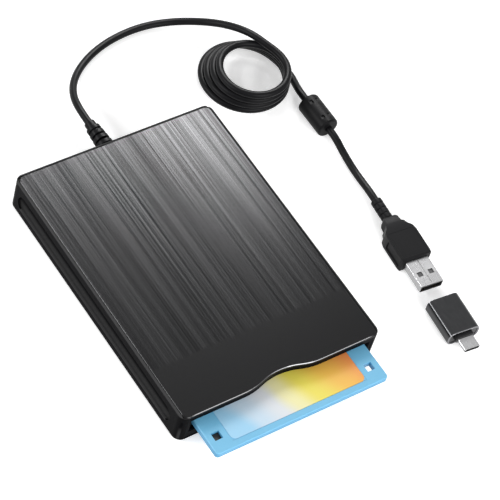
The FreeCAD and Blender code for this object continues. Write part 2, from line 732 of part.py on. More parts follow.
def boards():
    z = (CHASSIS_TOP, BOARD_TOP)
    left = rounded("control_board", block("control_blank", (-40.0, -18.0), (30.0, 68.0), z), 1.0, upright)
    right = rounded("interface_board", block("interface_blank", (18.0, 40.0), (42.0, 68.0), z), 1.0, upright)
    chips = [block("chip_drive", (-36.0, -26.0), (44.0, 54.0), (BOARD_TOP, BOARD_TOP + 1.4)),
             block("chip_spindle", (-34.0, -28.0), (33.0, 39.0), (BOARD_TOP, BOARD_TOP + 1.2)),
             block("chip_usb", (24.0, 33.0), (47.0, 56.0), (BOARD_TOP, BOARD_TOP + 1.4)),
             block("crystal", (20.0, 23.0), (44.0, 51.0), (BOARD_TOP, BOARD_TOP + 2.6))]
    ribbon = block("ribbon_cable", (-24.0, 24.0), (65.2, 67.2), (BOARD_TOP, BOARD_TOP + 0.3))
    return [left, right, group("board_chips", *chips), ribbon]


def sensor_switches():
    switches = []
    for n, x in enumerate((-40.0, -33.0, 33.0), start=1):
        base = block("switch_base_%d" % n, (x, x + 3.4), (-46.0, -41.0), (CHASSIS_TOP, 5.4))
        pin = rod("switch_pin_%d" % n, x + 1.7, -43.5, 5.4, 0.7, 0.7)
        switches.append(fused("switch_%d" % n, base, pin))
    return group("sensor_switches", *switches)


def trigger_lever():
    eye = rod("lever_eye", LEVER_X, LEVER_Y, 7.3, 3.0, 1.1)
    arm = block("lever_arm", (20.0, LEVER_X), (LEVER_Y - 1.2, LEVER_Y + 1.2), (7.3, 8.4))
    tip = block("lever_tip", (18.6, 21.0), (28.6, LEVER_Y + 1.2), (7.3, 10.6))
    bore = rod("lever_bore", LEVER_X, LEVER_Y, 6.0, 1.55, 4.0)
    return cut("trigger_lever", fused("lever_solid", eye, arm, tip), bore)


def dust_flap():
    """The thin door behind the slot; the disk holds it up and open."""
    plate = block("flap_plate", (-45.6, 45.6), (-65.4, -59.4), (13.3, 14.0))
    axle = rod("flap_axle", -47.0, -65.3, 14.0, 0.6, 94.0, ALONG_X)
    return fused("dust_flap", plate, axle)


def eject_springs():
    """Two tension springs, each drawn as its outer tube; the slider's wire runs inside it."""
    springs = []
    for n, x in enumerate(SPRING_PLACES, start=1):
        turns = rod("spring_turns_%d" % n, x, -63.5, SPRING_Z, 0.85, 7.0, ALONG_Y)
        bore = rod("spring_bore_%d" % n, x, -63.2, SPRING_Z, 0.5, 8.0, ALONG_Y)
        springs.append(cut("eject_spring_%d" % n, turns, bore))
    return group("eject_springs", *springs)


# Floppy disk

def disk_shell(label, low, high, open_below):
    """One half of the disk's case, with its corner cuts, shutter recess and head window."""
    body = new_body(label)
    half = d.disk_wide / 2
    front, back = d.disk_front, d.disk_front + d.disk_deep
    plan = sketch_on(body, "plan", offset=low)
    polygon(plan, [(-half, front), (half, front), (half, back - 3.5), (half - 3.5, back), (-half, back)])
    pad(body, plan, as_size(high) - low)
    dress(body, "Fillet", 1.6, lambda edge: upright(edge) and near(edge.BoundBox.YMin, front))
    outer_z, inner_z = (low, high) if open_below else (high, low)
    edge_z = as_size(outer_z).value

    def outer_edge(edge):
        return near(edge.BoundBox.ZMin, edge_z) and near(edge.BoundBox.ZMax, edge_z)

    dress(body, "Chamfer", 0.35, outer_edge)
    hub_y = front + d.hub_back
    cavity = sketch_on(body, "cavity", offset=inner_z)
    circle(cavity, 0, hub_y, 43.4)
    pocket(body, cavity, 0.85, back=open_below is False)
    recess = sketch_on(body, "shutter_recess", offset=outer_z)
    oblong(recess, (-27.4, 36.4), (back - 29.6, back + 1))
    pocket(body, recess, 0.35, back=open_below)
    window = sketch_on(body, "head_window", offset=outer_z)
    oblong(window, (-4.5, 4.5), (hub_y + 17.6, hub_y + 41.5))
    pocket(body, window, 2.0, back=open_below)
    nose = sketch_on(body, "shutter_edge", offset=outer_z)
    oblong(nose, (-27.4, 36.4), (back - 0.3, back + 1))
    pocket(body, nose, 3.0, back=open_below)
    ports = sketch_on(body, "ports", offset=outer_z)
    for x in (-40.0, 40.0):
        oblong(ports, (x - 2.0, x + 2.0), (front + 6.2, front + 10.2))
    pocket(body, ports, 3.0, back=open_below)
    if open_below:
        tab_way = sketch_on(body, "tab_way", offset=inner_z)
        oblong(tab_way, (-42.4, -37.6), (front + 6.0, front + 15.4))
        pocket(body, tab_way, 1.0)
        hub_hole = sketch_on(body, "hub_hole", offset=outer_z)
        circle(hub_hole, 0, hub_y, 12.7)
        pocket(body, hub_hole, 2.0, back=True)
    else:
        label_bed = sketch_on(body, "label_bed", offset=outer_z)
        oblong(label_bed, (-35.2, 35.2), (front + 3.0, front + 58.0))
        pocket(body, label_bed, 0.2)
        sides = (-44.0, 44.0)
        for n, x in enumerate(sides):
            grip = sketch_on(body, "grip_%d" % n, offset=outer_z)
            circle(grip, x - math.copysign(2.6, x), front + 70.0, 1.2)
            pocket(body, grip, 0.4)
    return body


def write_tab():
    x, y = (-42.2, -37.8), (d.disk_front + 6.1, d.disk_front + 10.6)
    middle = d.disk_low + d.disk_thick / 2
    base = block("tab_base", x, y, (middle - 0.9, middle - 0.05))
    return rounded("write_tab", base, 0.3, upright)


def disk_shutter():
    """Sprung metal slide, one sheet folded round the disk's leading edge."""
    back = d.disk_front + d.disk_deep
    low, high = d.disk_low, d.disk_low + d.disk_thick
    x = (-26.0, 17.0)
    top = block("shutter_top", x, (back - 29.0, back), (high - 0.25, high - 0.05))
    under = block("shutter_under", x, (back - 29.0, back), (low + 0.05, low + 0.25))
    nose = block("shutter_nose", x, (back - 0.2, back), (low + 0.05, high - 0.05))
    window = block("shutter_window", (-23.5, -14.5), (back - 27.0, back - 3.0), (low - 1.0, high + 1.0))
    press = block("shutter_press", (-6.0, 8.0), (back - 24.0, back - 6.0), (high - 0.1, high + 0.1))
    return cut("disk_shutter", fused("shutter_sheet", top, under, nose), window, press)


def disk_medium():
    middle = d.disk_low + d.disk_thick / 2
    hub_y = d.disk_front + d.hub_back
    film = rod("medium_film", 0, hub_y, middle - 0.1, 43.0, 0.2)
    return cut("disk_medium", film, rod("medium_bore", 0, hub_y, middle - 1, 8.0, 2.0))


def disk_hub():
    low = d.disk_low
    middle = low + d.disk_thick / 2
    body = new_body("disk_hub")
    sketch = sketch_on(body, "profile", "XZ_Plane")
    polygon(sketch, [(2.2, low + 0.35), (12.2, low + 0.35), (12.2, low + 0.75), (9.2, low + 0.75),
                     (9.2, middle - 0.12), (7.9, middle - 0.12), (7.9, middle + 0.1), (2.2, middle + 0.1)])
    turned(body, sketch)
    place(body, 0, d.disk_front + d.hub_back, 0)
    return body


def disk_label():
    high = d.disk_low + d.disk_thick
    y = (d.disk_front + 3.2, d.disk_front + 57.8)
    paper = block("label_paper", (-35.0, 35.0), y, (high - 0.2, high - 0.05))
    return rounded("disk_label", paper, 2.5, upright)


# Cord

CORD_HEIGHT = 9.0
LEAD = [(0.0, 89.5, 9.0), (0.0, 98.5, 9.0), (3.2, 109.0, 6.2), (9.8, 118.6, 3.2), (19.6, 126.4, 2.0),
        (31.6, 131.8, 1.9), (44.8, 134.6, 1.9), (58.2, 134.6, 2.4), (70.6, 131.2, 3.6), (81.2, 124.0, 6.8),
        (89.2, 113.6, 12.2)]
COIL_TURNS = 4.04
COIL_START = math.radians(20.0)
COIL_TOP = (Vector(84.6, 80.2, 0), 15.6)
COIL_BASE = (Vector(85.9, 88.0, 0), 21.3)
COIL_PITCH = 4.12
CORD_FLOOR = 1.85
CORD_SIDES = 10
CORD_SECTION = CORD_SIDES / 2 * math.sin(2 * math.pi / CORD_SIDES) * (d.cord_thick.value / 2) ** 2
FERRITE_X, FERRITE_Y, FERRITE_RADIUS, FERRITE_LENGTH = 104.2, 42.4, 5.5, 18.0


def coil_point(turn):
    """A place on the coil's line after so many turns: it widens, leans and sinks to the table."""
    share = turn / COIL_TURNS
    centre = COIL_TOP[0] * (1 - share) + COIL_BASE[0] * share
    radius = COIL_TOP[1] * (1 - share) + COIL_BASE[1] * share
    angle = COIL_START - 2 * math.pi * turn
    left = COIL_TURNS - turn
    blend = 0.3
    rise = left - blend / 2 if left > blend else left * left / (2 * blend)
    return centre + Vector(radius * math.cos(angle), radius * math.sin(angle), CORD_FLOOR + COIL_PITCH * rise)


def coil_heading(turn):
    step = 1e-4
    ahead, behind = coil_point(min(turn + step, COIL_TURNS)), coil_point(max(turn - step, 0))
    return (ahead - behind).normalize()


def bow(start, heading, end):
    """The arc that leaves start along heading and ends at end."""
    chord = end - start
    along = Vector(chord).normalize()
    lean = heading - along * heading.dot(along)
    if lean.Length < 1e-7:
        return Part.LineSegment(start, end).toShape()
    turn = math.acos(max(-1.0, min(1.0, heading.dot(along))))
    middle = start + chord / 2 + lean.normalize() * (chord.Length / 2 * math.tan(turn / 2))
    return Part.Arc(start, middle, end).toShape()


def biarc(start, heading, end, arrival):
    """Two arcs that join two places and share a tangent where they meet."""
    span, both = end - start, heading + arrival
    spare = 2 * (1 - heading.dot(arrival))
    reach = (-span.dot(both) + math.sqrt(span.dot(both) ** 2 + spare * span.dot(span))) / spare
    meet = (start + heading * reach + end - arrival * reach) / 2
    first = bow(start, heading, meet)
    second = bow(end, arrival * -1, meet)
    return [first, second]


def tube(edges, start, heading):
    """The cord's many-sided section, swept along its line."""
    across = heading.cross(Vector(0, 0, 1)).normalize()
    upward = across.cross(heading)
    radius = d.cord_thick.value / 2
    corners = []
    for n in range(CORD_SIDES + 1):
        angle = 2 * math.pi * n / CORD_SIDES
        corners.append(start + across * (radius * math.cos(angle)) + upward * (radius * math.sin(angle)))
    return Part.Wire(edges).makePipeShell([Part.makePolygon(corners)], True, False)


def coil_ends():
    first, last = coil_point(0), coil_point(COIL_TURNS)
    lead_in = first - coil_heading(0) * d.cord_thick.value
    run_out = last + coil_heading(COIL_TURNS) * d.cord_thick.value
    return lead_in, first, last, run_out


def cord_coil():
    lead_in, first, last, run_out = coil_ends()
    edges = [Part.LineSegment(lead_in, first).toShape()]
    steps = round(COIL_TURNS * 4)
    stops = [COIL_TURNS * n / steps for n in range(steps + 1)]
    for here, there in zip(stops, stops[1:]):
        edges += biarc(coil_point(here), coil_heading(here), coil_point(there), coil_heading(there))
    edges.append(Part.LineSegment(last, run_out).toShape())
    solid = tube(edges, lead_in, coil_heading(0))
    print("coil: length %.1f, least gap to itself %.2f" % (Part.Wire(edges).Length, coil_gap()))
    return from_shape("cord_coil", solid)


def coil_gap():
    """The least clear distance between turns, measured on points of the line."""
    per_turn = 60
    points = [coil_point(n / per_turn) for n in range(int(COIL_TURNS * per_turn) + 1)]
    pairs = ((a - b).Length for i, a in enumerate(points) for b in points[i + per_turn // 2:])
    return min(pairs) - d.cord_thick.value


def cord_path(points):
    """Straight runs joined by arcs as large as the runs allow; returns edges and radii."""
    edges, radii, here = [], [], points[0]
    for before, corner, after in zip(points, points[1:], points[2:]):
        into, out = (corner - before).normalize(), (after - corner).normalize()
        half_turn = into.getAngle(out) / 2
        reach = 0.45 * min((corner - before).Length, (after - corner).Length)
        radii.append(reach / math.tan(half_turn))
        start, end = corner - into * reach, corner + out * reach
        edges.append(Part.LineSegment(here, start).toShape())
        edges.append(bow(start, into, end))
        here = end
    edges.append(Part.LineSegment(here, points[-1]).toShape())
    return edges, radii


def free_cord(label, points):
    points = [Vector(*point) for point in points]
    edges, radii = cord_path(points)
    solid = tube(edges, points[0], (points[1] - points[0]).normalize())
    length = Part.Wire(edges).Length
    share = solid.Volume / (CORD_SECTION * length)
    print("%s: length %.1f, least radius %.1f, volume share %.3f" % (label, length, min(radii), share))
    return from_shape(label, solid)


def lead_route():
    lead_in = coil_ends()[0]
    return [Vector(*p) for p in LEAD] + [lead_in - coil_heading(0) * 12.0, lead_in]


def tail_route():
    run_out = coil_ends()[3]
    entry = Vector(FERRITE_X, FERRITE_Y + FERRITE_LENGTH, FERRITE_RADIUS)
    return [run_out, run_out + coil_heading(COIL_TURNS) * 7.0, Vector(106.4, 73.2, 3.2),
            entry + Vector(0, 7.0, 0), entry]


PLUG_START = Vector(101.2, -2.0, 4.2)
PLUG_TURN = Rotation(Vector(0, 0, 1), -5.0)


def span_route():
    leave = Vector(FERRITE_X, FERRITE_Y, FERRITE_RADIUS)
    back = PLUG_TURN.multVec(Vector(0, 1, 0))
    return [leave, leave - Vector(0, 6.0, 0), Vector(104.0, 28.6, 3.2), Vector(103.5, 19.0, 2.0),
            Vector(102.8, 11.0, 2.6), PLUG_START + back * 5.8, PLUG_START]


def strain_relief():
    """Moulded relief: an inner flange, the neck in the wall and five rings that thin outwards."""
    body = new_body("strain_relief")
    sketch = sketch_on(body, "profile", "XZ_Plane")
    profile = [(0, -3.6), (4.6, -3.6), (4.6, -2.05), (3.3, -2.05), (3.3, 0), (4.3, 0), (4.3, 2.4)]
    ring, gap, count = 2.0, 1.2, 4
    level, size = 2.4, 4.1
    for n in range(count):
        profile += [(2.75, level), (2.75, level + gap), (size, level + gap), (size, level + gap + ring)]
        level += gap + ring
        size -= 0.22
    profile += [(2.6, level), (2.6, 18.5), (0, 18.5)]
    polygon(sketch, profile)
    turned(body, sketch)
    body.Placement = Placement(Vector(0, half_deep.value, CORD_HEIGHT), ALONG_Y)
    return body


def ferrite_bead():
    """Moulded sleeve with pressed square marks round a solid core."""
    length, radius, end_wall, core_radius = FERRITE_LENGTH, FERRITE_RADIUS, 1.2, 4.2
    case = new_body("ferrite_case")
    profile = sketch_on(case, "profile", "XZ_Plane")
    polygon(profile, [(0, 0), (radius - 1.0, 0), (radius - 0.3, 0.3), (radius, 1.0),
                      (radius, length - 1.0), (radius - 0.3, length - 0.3), (radius - 1.0, length),
                      (0, length), (0, length - end_wall), (core_radius, length - end_wall),
                      (core_radius, end_wall), (0, end_wall)])
    turned(case, profile)
    case.Placement = Placement(Vector(FERRITE_X, FERRITE_Y, radius), ALONG_Y)
    marks = [block("ferrite_mark_%d_%d" % (n, m), (FERRITE_X + x - 0.9, FERRITE_X + x + 0.9), (y, y + 2.0),
                   (10.2, 12.0))
             for n, y in enumerate((FERRITE_Y + 3.0, FERRITE_Y + 13.0)) for m, x in enumerate((-1.8, 1.8))]
    shell = cut("ferrite_sleeve", case, *marks)
    core_length = length - 2 * end_wall
    core = rod("ferrite_core", FERRITE_X, FERRITE_Y + end_wall, radius, core_radius, core_length, ALONG_Y)
    return [shell, core]


# Plug and adapter, drawn along their own axis and then laid down

PLUG_PLACE = Placement(PLUG_START, PLUG_TURN)


def lay_down(label, item, where=PLUG_PLACE):
    """The finished piece, moved from its own axis to where it lies on the table."""
    laid = group(label, item)
    laid.Placement = where
    return laid


def plug_overmould():
    """Grip with sloping shoulders and a ribbed tail, symmetric about the cord."""
    body = new_body("plug_grip")
    plan = sketch_on(body, "plan", offset=-3.95)
    polygon(plan, [(-3.2, -12.0), (3.2, -12.0), (5.0, -16.5), (8.0, -20.0), (8.0, -37.0),
                   (-8.0, -37.0), (-8.0, -20.0), (-5.0, -16.5)])
    pad(body, plan, 7.9)
    dress(body, "Fillet", 1.3, lambda edge: not near(edge.BoundBox.YMax, -12.0) and not upright(edge))
    tail = sketch_on(body, "tail", "XZ_Plane", 0)
    circle(tail, 0, 0, 2.8)
    pad(body, tail, 12.5)
    for n, y in enumerate((-2.6, -5.6, -8.6)):
        notch = sketch_on(body, "notch_%d" % n, "XZ_Plane", -y)
        circle(notch, 0, 0, 4.0)
        circle(notch, 0, 0, 2.3)
        pocket(body, notch, 1.3, back=True)
    return lay_down("plug_overmould", body)


def hollow_bar(label, half_x, half_z, wall, y0, y1, corner):
    """A rectangular tube along -Y, from y0 down to y1."""
    bar = block(label + "_bar", (-half_x, half_x), (y1, y0), (-half_z, half_z))
    x, z = (-half_x + wall, half_x - wall), (-half_z + wall, half_z - wall)
    way = block(label + "_way", x, (y1 - 1, y0), z)
    inner_corner = max(corner - wall, 0.2)
    return (rounded(label + "_outer", bar, corner, lengthwise),
            rounded(label + "_inner", way, inner_corner, lengthwise))


def usb_plug():
    outer, inner = hollow_bar("shell", 6.0, 2.25, 0.32, -37.0, -51.6, 0.6)
    ports = [block("shell_port_%d" % n, (x - 1.25, x + 1.25), (-46.4, -44.0), (-3.0, 3.0))
             for n, x in enumerate((-2.9, 2.9))]
    shell = cut("shell_wall", outer, inner, *ports)
    tongue = block("plug_tongue", (-5.5, 5.5), (-51.0, -37.0), (0.1, 1.8))
    contacts = group("plug_contacts", *[
        block("contact_%d" % n, (x - 0.5, x + 0.5), (-50.4 if abs(x) > 2 else -49.4, -38.0), (-0.1, 0.1))
        for n, x in enumerate((-3.5, -1.0, 1.0, 3.5))])
    return [lay_down("usb_shell", shell), lay_down("usb_tongue", tongue), lay_down("usb_contacts", contacts)]


ADAPTER_SHIFT = Placement(PLUG_START, PLUG_TURN) * Placement(Vector(0.0, -60.5, 0.0), Rotation())


def adapter():
    """Short metal sleeve with a socket at one end and a small plug at the other."""
    bar, way = hollow_bar("adapter", 8.2, 4.1, 1.2, 0.0, -20.0, 1.2)
    socket_way = block("adapter_socket_way", (-6.2, 6.2), (-15.6, 1.0), (-2.45, 2.45))
    body = cut("adapter_wall", bar, block("adapter_bay", (-7.0, 7.0), (-18.6, 1.0), (-2.9, 2.9)),
               block("adapter_nose_way", (-4.9, 4.9), (-21.0, -18.0), (-2.0, 2.0)))
    liner = cut("liner_wall", block("liner_bar", (-6.9, 6.9), (-18.4, -0.3), (-2.8, 2.8)), socket_way)
    tongue = block("socket_tongue", (-5.4, 5.4), (-15.6, -1.6), (-1.75, -0.25))
    collar_bar = block("collar_bar", (-4.8, 4.8), (-21.4, -18.4), (-1.9, 1.9))
    collar_way = block("collar_way", (-4.2, 4.2), (-22.0, -18.0), (-1.25, 1.25))
    collar = cut("collar_wall", rounded("collar_round", collar_bar, 1.7, lengthwise),
                 rounded("collar_inner", collar_way, 1.2, lengthwise))
    nose_bar = block("nose_bar", (-4.15, 4.15), (-27.6, -18.4), (-1.2, 1.2))
    nose_way = block("nose_way", (-3.8, 3.8), (-28.6, -19.6), (-0.85, 0.85))
    nose = cut("nose_wall", rounded("nose_round", nose_bar, 1.15, lengthwise),
               rounded("nose_inner", nose_way, 0.8, lengthwise))
    blade = block("nose_blade", (-3.3, 3.3), (-27.0, -19.6), (-0.35, 0.35))
    pieces = [("adapter_body", body), ("adapter_socket", liner), ("adapter_tongue", tongue),
              ("adapter_collar", collar), ("adapter_plug", nose), ("adapter_blade", blade)]
    return [lay_down(label, piece, ADAPTER_SHIFT) for label, piece in pieces]


def all_pieces():
    low, high = d.disk_low, d.disk_low + d.disk_thick
    middle = low + d.disk_thick / 2
    housing = [bottom_cover(), top_cover(), top_panel(), front_bezel(), rubber_feet(), case_screws(),
               led_lens(), strain_relief()]
    loading = [chassis_frame(), shield_cover(), disk_cradle(), eject_slider(), eject_button(),
               eject_springs(), trigger_lever(), dust_flap()]
    motor = [motor_board(), spindle_bearing(), stator_coils(), spindle_shaft(), spindle_rotor(),
             rotor_magnet(), spindle_hub()]
    heads = [guide_rod(), head_carriage(), lower_head(), upper_head_arm(), upper_head(), lead_screw(),
             stepper_motor()]
    disk = [disk_shell("disk_lower_shell", low, middle, True),
            disk_shell("disk_upper_shell", middle, high, False),
            write_tab(), disk_shutter(), disk_medium(), disk_hub(), disk_label()]
    cord = [free_cord("cord_lead", lead_route()), cord_coil(), free_cord("cord_tail", tail_route()),
            free_cord("cord_span", span_route()), plug_overmould()]
    electric = boards() + [sensor_switches()]
    cord += ferrite_bead() + usb_plug() + adapter()
    return housing + loading + motor + heads + electric + disk + cord


pieces = all_pieces()
doc.recompute()
faults = [item.Name for item in doc.Objects if "Invalid" in item.State or "Error" in item.State]
faults += [item.Label for item in pieces if item.Shape.isNull() or not item.Shape.isValid()]
if faults:
    raise RuntimeError("failed: " + ", ".join(faults))
for item in pieces:
    item.Shape.exportStep("parts/%s.step" % item.Label)
print("%d nodes written" % len(pieces))
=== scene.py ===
import json
import math
import bpy
from mathutils import Matrix, Vector

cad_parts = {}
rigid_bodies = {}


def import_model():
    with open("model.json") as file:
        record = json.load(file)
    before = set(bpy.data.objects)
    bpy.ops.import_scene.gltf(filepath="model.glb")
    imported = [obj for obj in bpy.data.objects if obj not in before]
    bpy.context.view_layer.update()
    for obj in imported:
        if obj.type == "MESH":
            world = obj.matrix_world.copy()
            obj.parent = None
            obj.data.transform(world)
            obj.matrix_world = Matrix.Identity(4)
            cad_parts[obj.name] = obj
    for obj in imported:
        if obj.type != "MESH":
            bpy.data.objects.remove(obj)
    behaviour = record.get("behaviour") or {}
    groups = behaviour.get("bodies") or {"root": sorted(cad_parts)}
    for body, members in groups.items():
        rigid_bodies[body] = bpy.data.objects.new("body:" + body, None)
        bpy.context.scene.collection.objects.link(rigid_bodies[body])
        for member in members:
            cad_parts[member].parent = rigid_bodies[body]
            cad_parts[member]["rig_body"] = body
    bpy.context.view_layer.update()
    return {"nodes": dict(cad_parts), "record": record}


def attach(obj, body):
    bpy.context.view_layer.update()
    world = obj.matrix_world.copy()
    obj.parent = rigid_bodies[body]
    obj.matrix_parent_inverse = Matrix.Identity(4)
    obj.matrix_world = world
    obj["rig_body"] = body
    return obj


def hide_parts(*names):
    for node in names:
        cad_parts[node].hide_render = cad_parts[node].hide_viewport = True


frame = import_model()

# Slim floppy disk drive with its disk, coiled cord, ferrite bead, plug and plug adapter.
# Metres; the front is towards -Y, +X is to the right seen from the front, the table is Z = 0.

MM = 0.001
WHITE = (1.0, 1.0, 1.0, 1.0)

# The plug and its adapter share one axis, which leans a little from the drive's own.
# PLUG_START, where the cord enters the plug, is in millimetres.

PLUG_TURN = math.radians(5.0)
PLUG_START = Vector((101.2, -2.0, 4.2))
PLUG_BACK = Vector((math.sin(PLUG_TURN), math.cos(PLUG_TURN), 0.0))
PLUG_FRAME = Matrix.Translation(PLUG_START * MM) @ Matrix.Rotation(-PLUG_TURN, 4, "Z")
SLEEVE_START, SLEEVE_DEEP = -60.5 * MM, 20.0 * MM
SLEEVE_NOSE = PLUG_BACK.dot(PLUG_START) * MM + SLEEVE_START - SLEEVE_DEEP


# Camera

CAMERA_PLACE = Vector((-0.48635, -0.47584, 0.88783))
CAMERA_RIGHT = Vector((0.8208, -0.5381, 0.1916))
CAMERA_UP = Vector((0.3405, 0.7302, 0.5923))
CAMERA_SENSOR, CAMERA_LENS = 36.0, 181.09
CAMERA_NEAR, CAMERA_FAR = 0.05, 20.0


def make_camera():
    data = bpy.data.cameras.new("camera")
    data.sensor_width, data.lens = CAMERA_SENSOR, CAMERA_LENS
    data.clip_start, data.clip_end = CAMERA_NEAR, CAMERA_FAR
    camera = bpy.data.objects.new("camera", data)
    bpy.context.scene.collection.objects.link(camera)
    back = CAMERA_RIGHT.cross(CAMERA_UP).normalized()
    up = back.cross(CAMERA_RIGHT).normalized()
    turn = Matrix((CAMERA_RIGHT.normalized(), up, back)).transposed()
    camera.matrix_world = Matrix.Translation(CAMERA_PLACE) @ turn.to_4x4()
    bpy.context.scene.camera = camera


# Shader maths

class Wire:
    """A node's output, with the arithmetic that adds Math nodes."""

    def __init__(self, net, socket):
        self.net, self.socket = net, socket

    def maths(self, operation, *values, clamp=False):
        settings = {"operation": operation, "use_clamp": clamp}
        return self.net.add("ShaderNodeMath", settings, *values)

    def __add__(self, other):
        return self.maths("ADD", self, other)

    def __radd__(self, other):
        return self.maths("ADD", other, self)

    def __sub__(self, other):
        return self.maths("SUBTRACT", self, other)

    def __rsub__(self, other):
        return self.maths("SUBTRACT", other, self)

    def __mul__(self, other):
        return self.maths("MULTIPLY", self, other)

    def __rmul__(self, other):
        return self.maths("MULTIPLY", other, self)

    def __truediv__(self, other):
        return self.maths("DIVIDE", self, other)

    def __abs__(self):
        return self.maths("ABSOLUTE", self)

    def power(self, exponent):
        return self.maths("POWER", self, exponent)

    def larger(self, other):
        return self.maths("MAXIMUM", self, other)

    def above(self, level, width):
        """0 under the level, 1 over it, with a soft step of the given width."""
        return self.maths("ADD", (self - level) / width, 0.5, clamp=True)

    def below(self, level, width):
        return 1.0 - self.above(level, width)

    def wave(self, rate):
        """A sine along this value, from 0 to 1; the rate is in radians to a metre."""
        return self.maths("SINE", self * rate) * 0.5 + 0.5


class Net:
    """A node tree, with short ways to add nodes and to link them."""

    def __init__(self, tree):
        self.tree = tree

    def out(self, node, output=0):
        return Wire(self, node.outputs[output])

    def add(self, kind, settings, *values, output=0, **named):
        """A new node with its settings and its socket values or links; gives one of its outputs."""
        node = self.tree.nodes.new(kind)
        for key, value in settings.items():
            setattr(node, key, value)
        for index, value in enumerate(values):
            self.feed(node.inputs[index], value)
        self.feed_named(node, named)
        return self.out(node, output)

    def feed(self, socket, value):
        if isinstance(value, Wire):
            self.tree.links.new(value.socket, socket)
        else:
            socket.default_value = value

    def feed_named(self, node, sockets):
        """Values or links for sockets by name, with _ for a space."""
        for key, value in sockets.items():
            self.feed(node.inputs[key.replace("_", " ")], value)

    def seen_directly(self):
        """1 for what the camera sees directly, in a mirror or through glass."""
        path = self.tree.nodes.new("ShaderNodeLightPath")
        seen = self.out(path, "Is Camera Ray")
        for other in ("Is Glossy Ray", "Is Transmission Ray"):
            seen = seen.larger(self.out(path, other))
        return seen


MIX_COLOURS, MIX_RESULT = (6, 7), 2


class Finish(Net):
    """One procedural material and the nodes that shape it."""

    def __init__(self, name, roughness, **constants):
        self.material = bpy.data.materials.new(name)
        self.material.use_nodes = True
        super().__init__(self.material.node_tree)
        self.shader = self.tree.nodes["Principled BSDF"]
        self.surface(Roughness=roughness, **constants)
        self.place = self.add("ShaderNodeTexCoord", {}, output="Object")

    def surface(self, **sockets):
        self.feed_named(self.shader, sockets)
        return self.material

    def axis(self, letter):
        """The place along one axis, in metres."""
        return self.add("ShaderNodeSeparateXYZ", {}, self.place, output=letter)

    def noise(self, scale, detail, roughness=0.5, stretch=(1.0, 1.0, 1.0)):
        """Noise from 0 to 1 about 0.5; the scale is in features to a metre."""
        vector = self.add("ShaderNodeVectorMath", {"operation": "MULTIPLY"}, self.place, stretch)
        return self.add("ShaderNodeTexNoise", {}, output="Fac", Vector=vector, Scale=scale,
                        Detail=detail, Roughness=roughness)

    def streaks(self, across, along, detail, roughness):
        """Noise drawn out along Y, with so many features to a metre across and along."""
        return self.noise(1.0, detail, roughness, (across, along, across))

    def mixed(self, share, first, second):
        """One colour turning into another as the share goes from 0 to 1."""
        result = self.add("ShaderNodeMix", {"data_type": "RGBA"}, share, output=MIX_RESULT)
        for index, colour in zip(MIX_COLOURS, (first, second)):
            opaque = colour if isinstance(colour, Wire) else (*colour, 1.0)
            self.feed(result.socket.node.inputs[index], opaque)
        return result

    def bump(self, height, depth, strength=1.0):
        normal = self.add("ShaderNodeBump", {}, output="Normal", Height=height, Distance=depth,
                          Strength=strength)
        self.surface(Normal=normal)


# Finishes, each named after its slot

def scaled(colour, factor):
    return tuple(min(1.0, channel * factor) for channel in colour)


SPARK_GRAIN, SPARK_DEPTH = 9000.0, 0.01 * MM

# Colour and roughness; then, where they differ, the grain, its depth and the specular level.
MOULDED = {
    "button_plastic": ((0.014, 0.014, 0.015), 0.36),
    "magnet": ((0.05, 0.048, 0.046), 0.6, 3000.0, 0.02 * MM),
    "chip_black": ((0.02, 0.02, 0.021), 0.55, 6000.0),
    "head_plastic": ((0.16, 0.15, 0.13), 0.5),
    "head_ceramic": ((0.62, 0.60, 0.55), 0.2, 3000.0, 0.002 * MM),
    "tab_black": ((0.012, 0.012, 0.013), 0.4),
    "ferrite_plastic": ((0.005, 0.005, 0.0055), 0.44, 6000.0, SPARK_DEPTH, 0.08),
    "ferrite_black": ((0.03, 0.03, 0.032), 0.7),
    "tongue_plastic": ((0.07, 0.07, 0.072), 0.4),
    "adapter_black": ((0.012, 0.012, 0.013), 0.4),
}


def moulded(name, colour, roughness, grain=SPARK_GRAIN, depth=SPARK_DEPTH, level=0.35):
    """Moulded plastic: fine spark grain, slightly uneven gloss and tone."""
    finish = Finish(name, roughness, Specular_IOR_Level=level)
    tone = finish.noise(60.0, 4.0)
    fine = finish.noise(grain, 2.0)
    finish.bump(fine, depth)
    return finish.surface(Base_Color=finish.mixed(tone, scaled(colour, 0.82), scaled(colour, 1.18)),
                          Roughness=roughness - 0.05 + 0.08 * tone + 0.04 * fine)


# Colour, roughness and lines to a metre; then, where it differs, how long the lines are drawn.
PLATED = {
    "screw_steel": ((0.09, 0.09, 0.10), 0.34, 2500.0, 1.0),
    "sheet_steel": ((0.62, 0.63, 0.65), 0.34, 700.0),
    "steel": ((0.56, 0.57, 0.59), 0.22, 3000.0, 0.2),
    "bearing_brass": ((0.68, 0.49, 0.22), 0.3, 2500.0),
    "shutter_metal": ((0.66, 0.67, 0.69), 0.3, 800.0),
    "hub_steel": ((0.6, 0.6, 0.61), 0.3, 2000.0, 1.0),
    "contact_gold": ((0.83, 0.60, 0.25), 0.22, 2500.0),
}


def plated(name, colour, roughness, scale, along=0.06):
    """Plated or rolled metal with faint lines along Y and a cloudy gloss."""
    finish = Finish(name, roughness, Metallic=1.0)
    lines = finish.noise(scale, 4.0, 0.6, (1.0, along, 1.0))
    cloud = finish.noise(140.0, 3.0)
    finish.bump(lines, 0.004 * MM)
    return finish.surface(Base_Color=finish.mixed(lines * 0.6 + cloud * 0.4, scaled(colour, 0.8), colour),
                          Roughness=roughness - 0.06 + 0.14 * cloud)


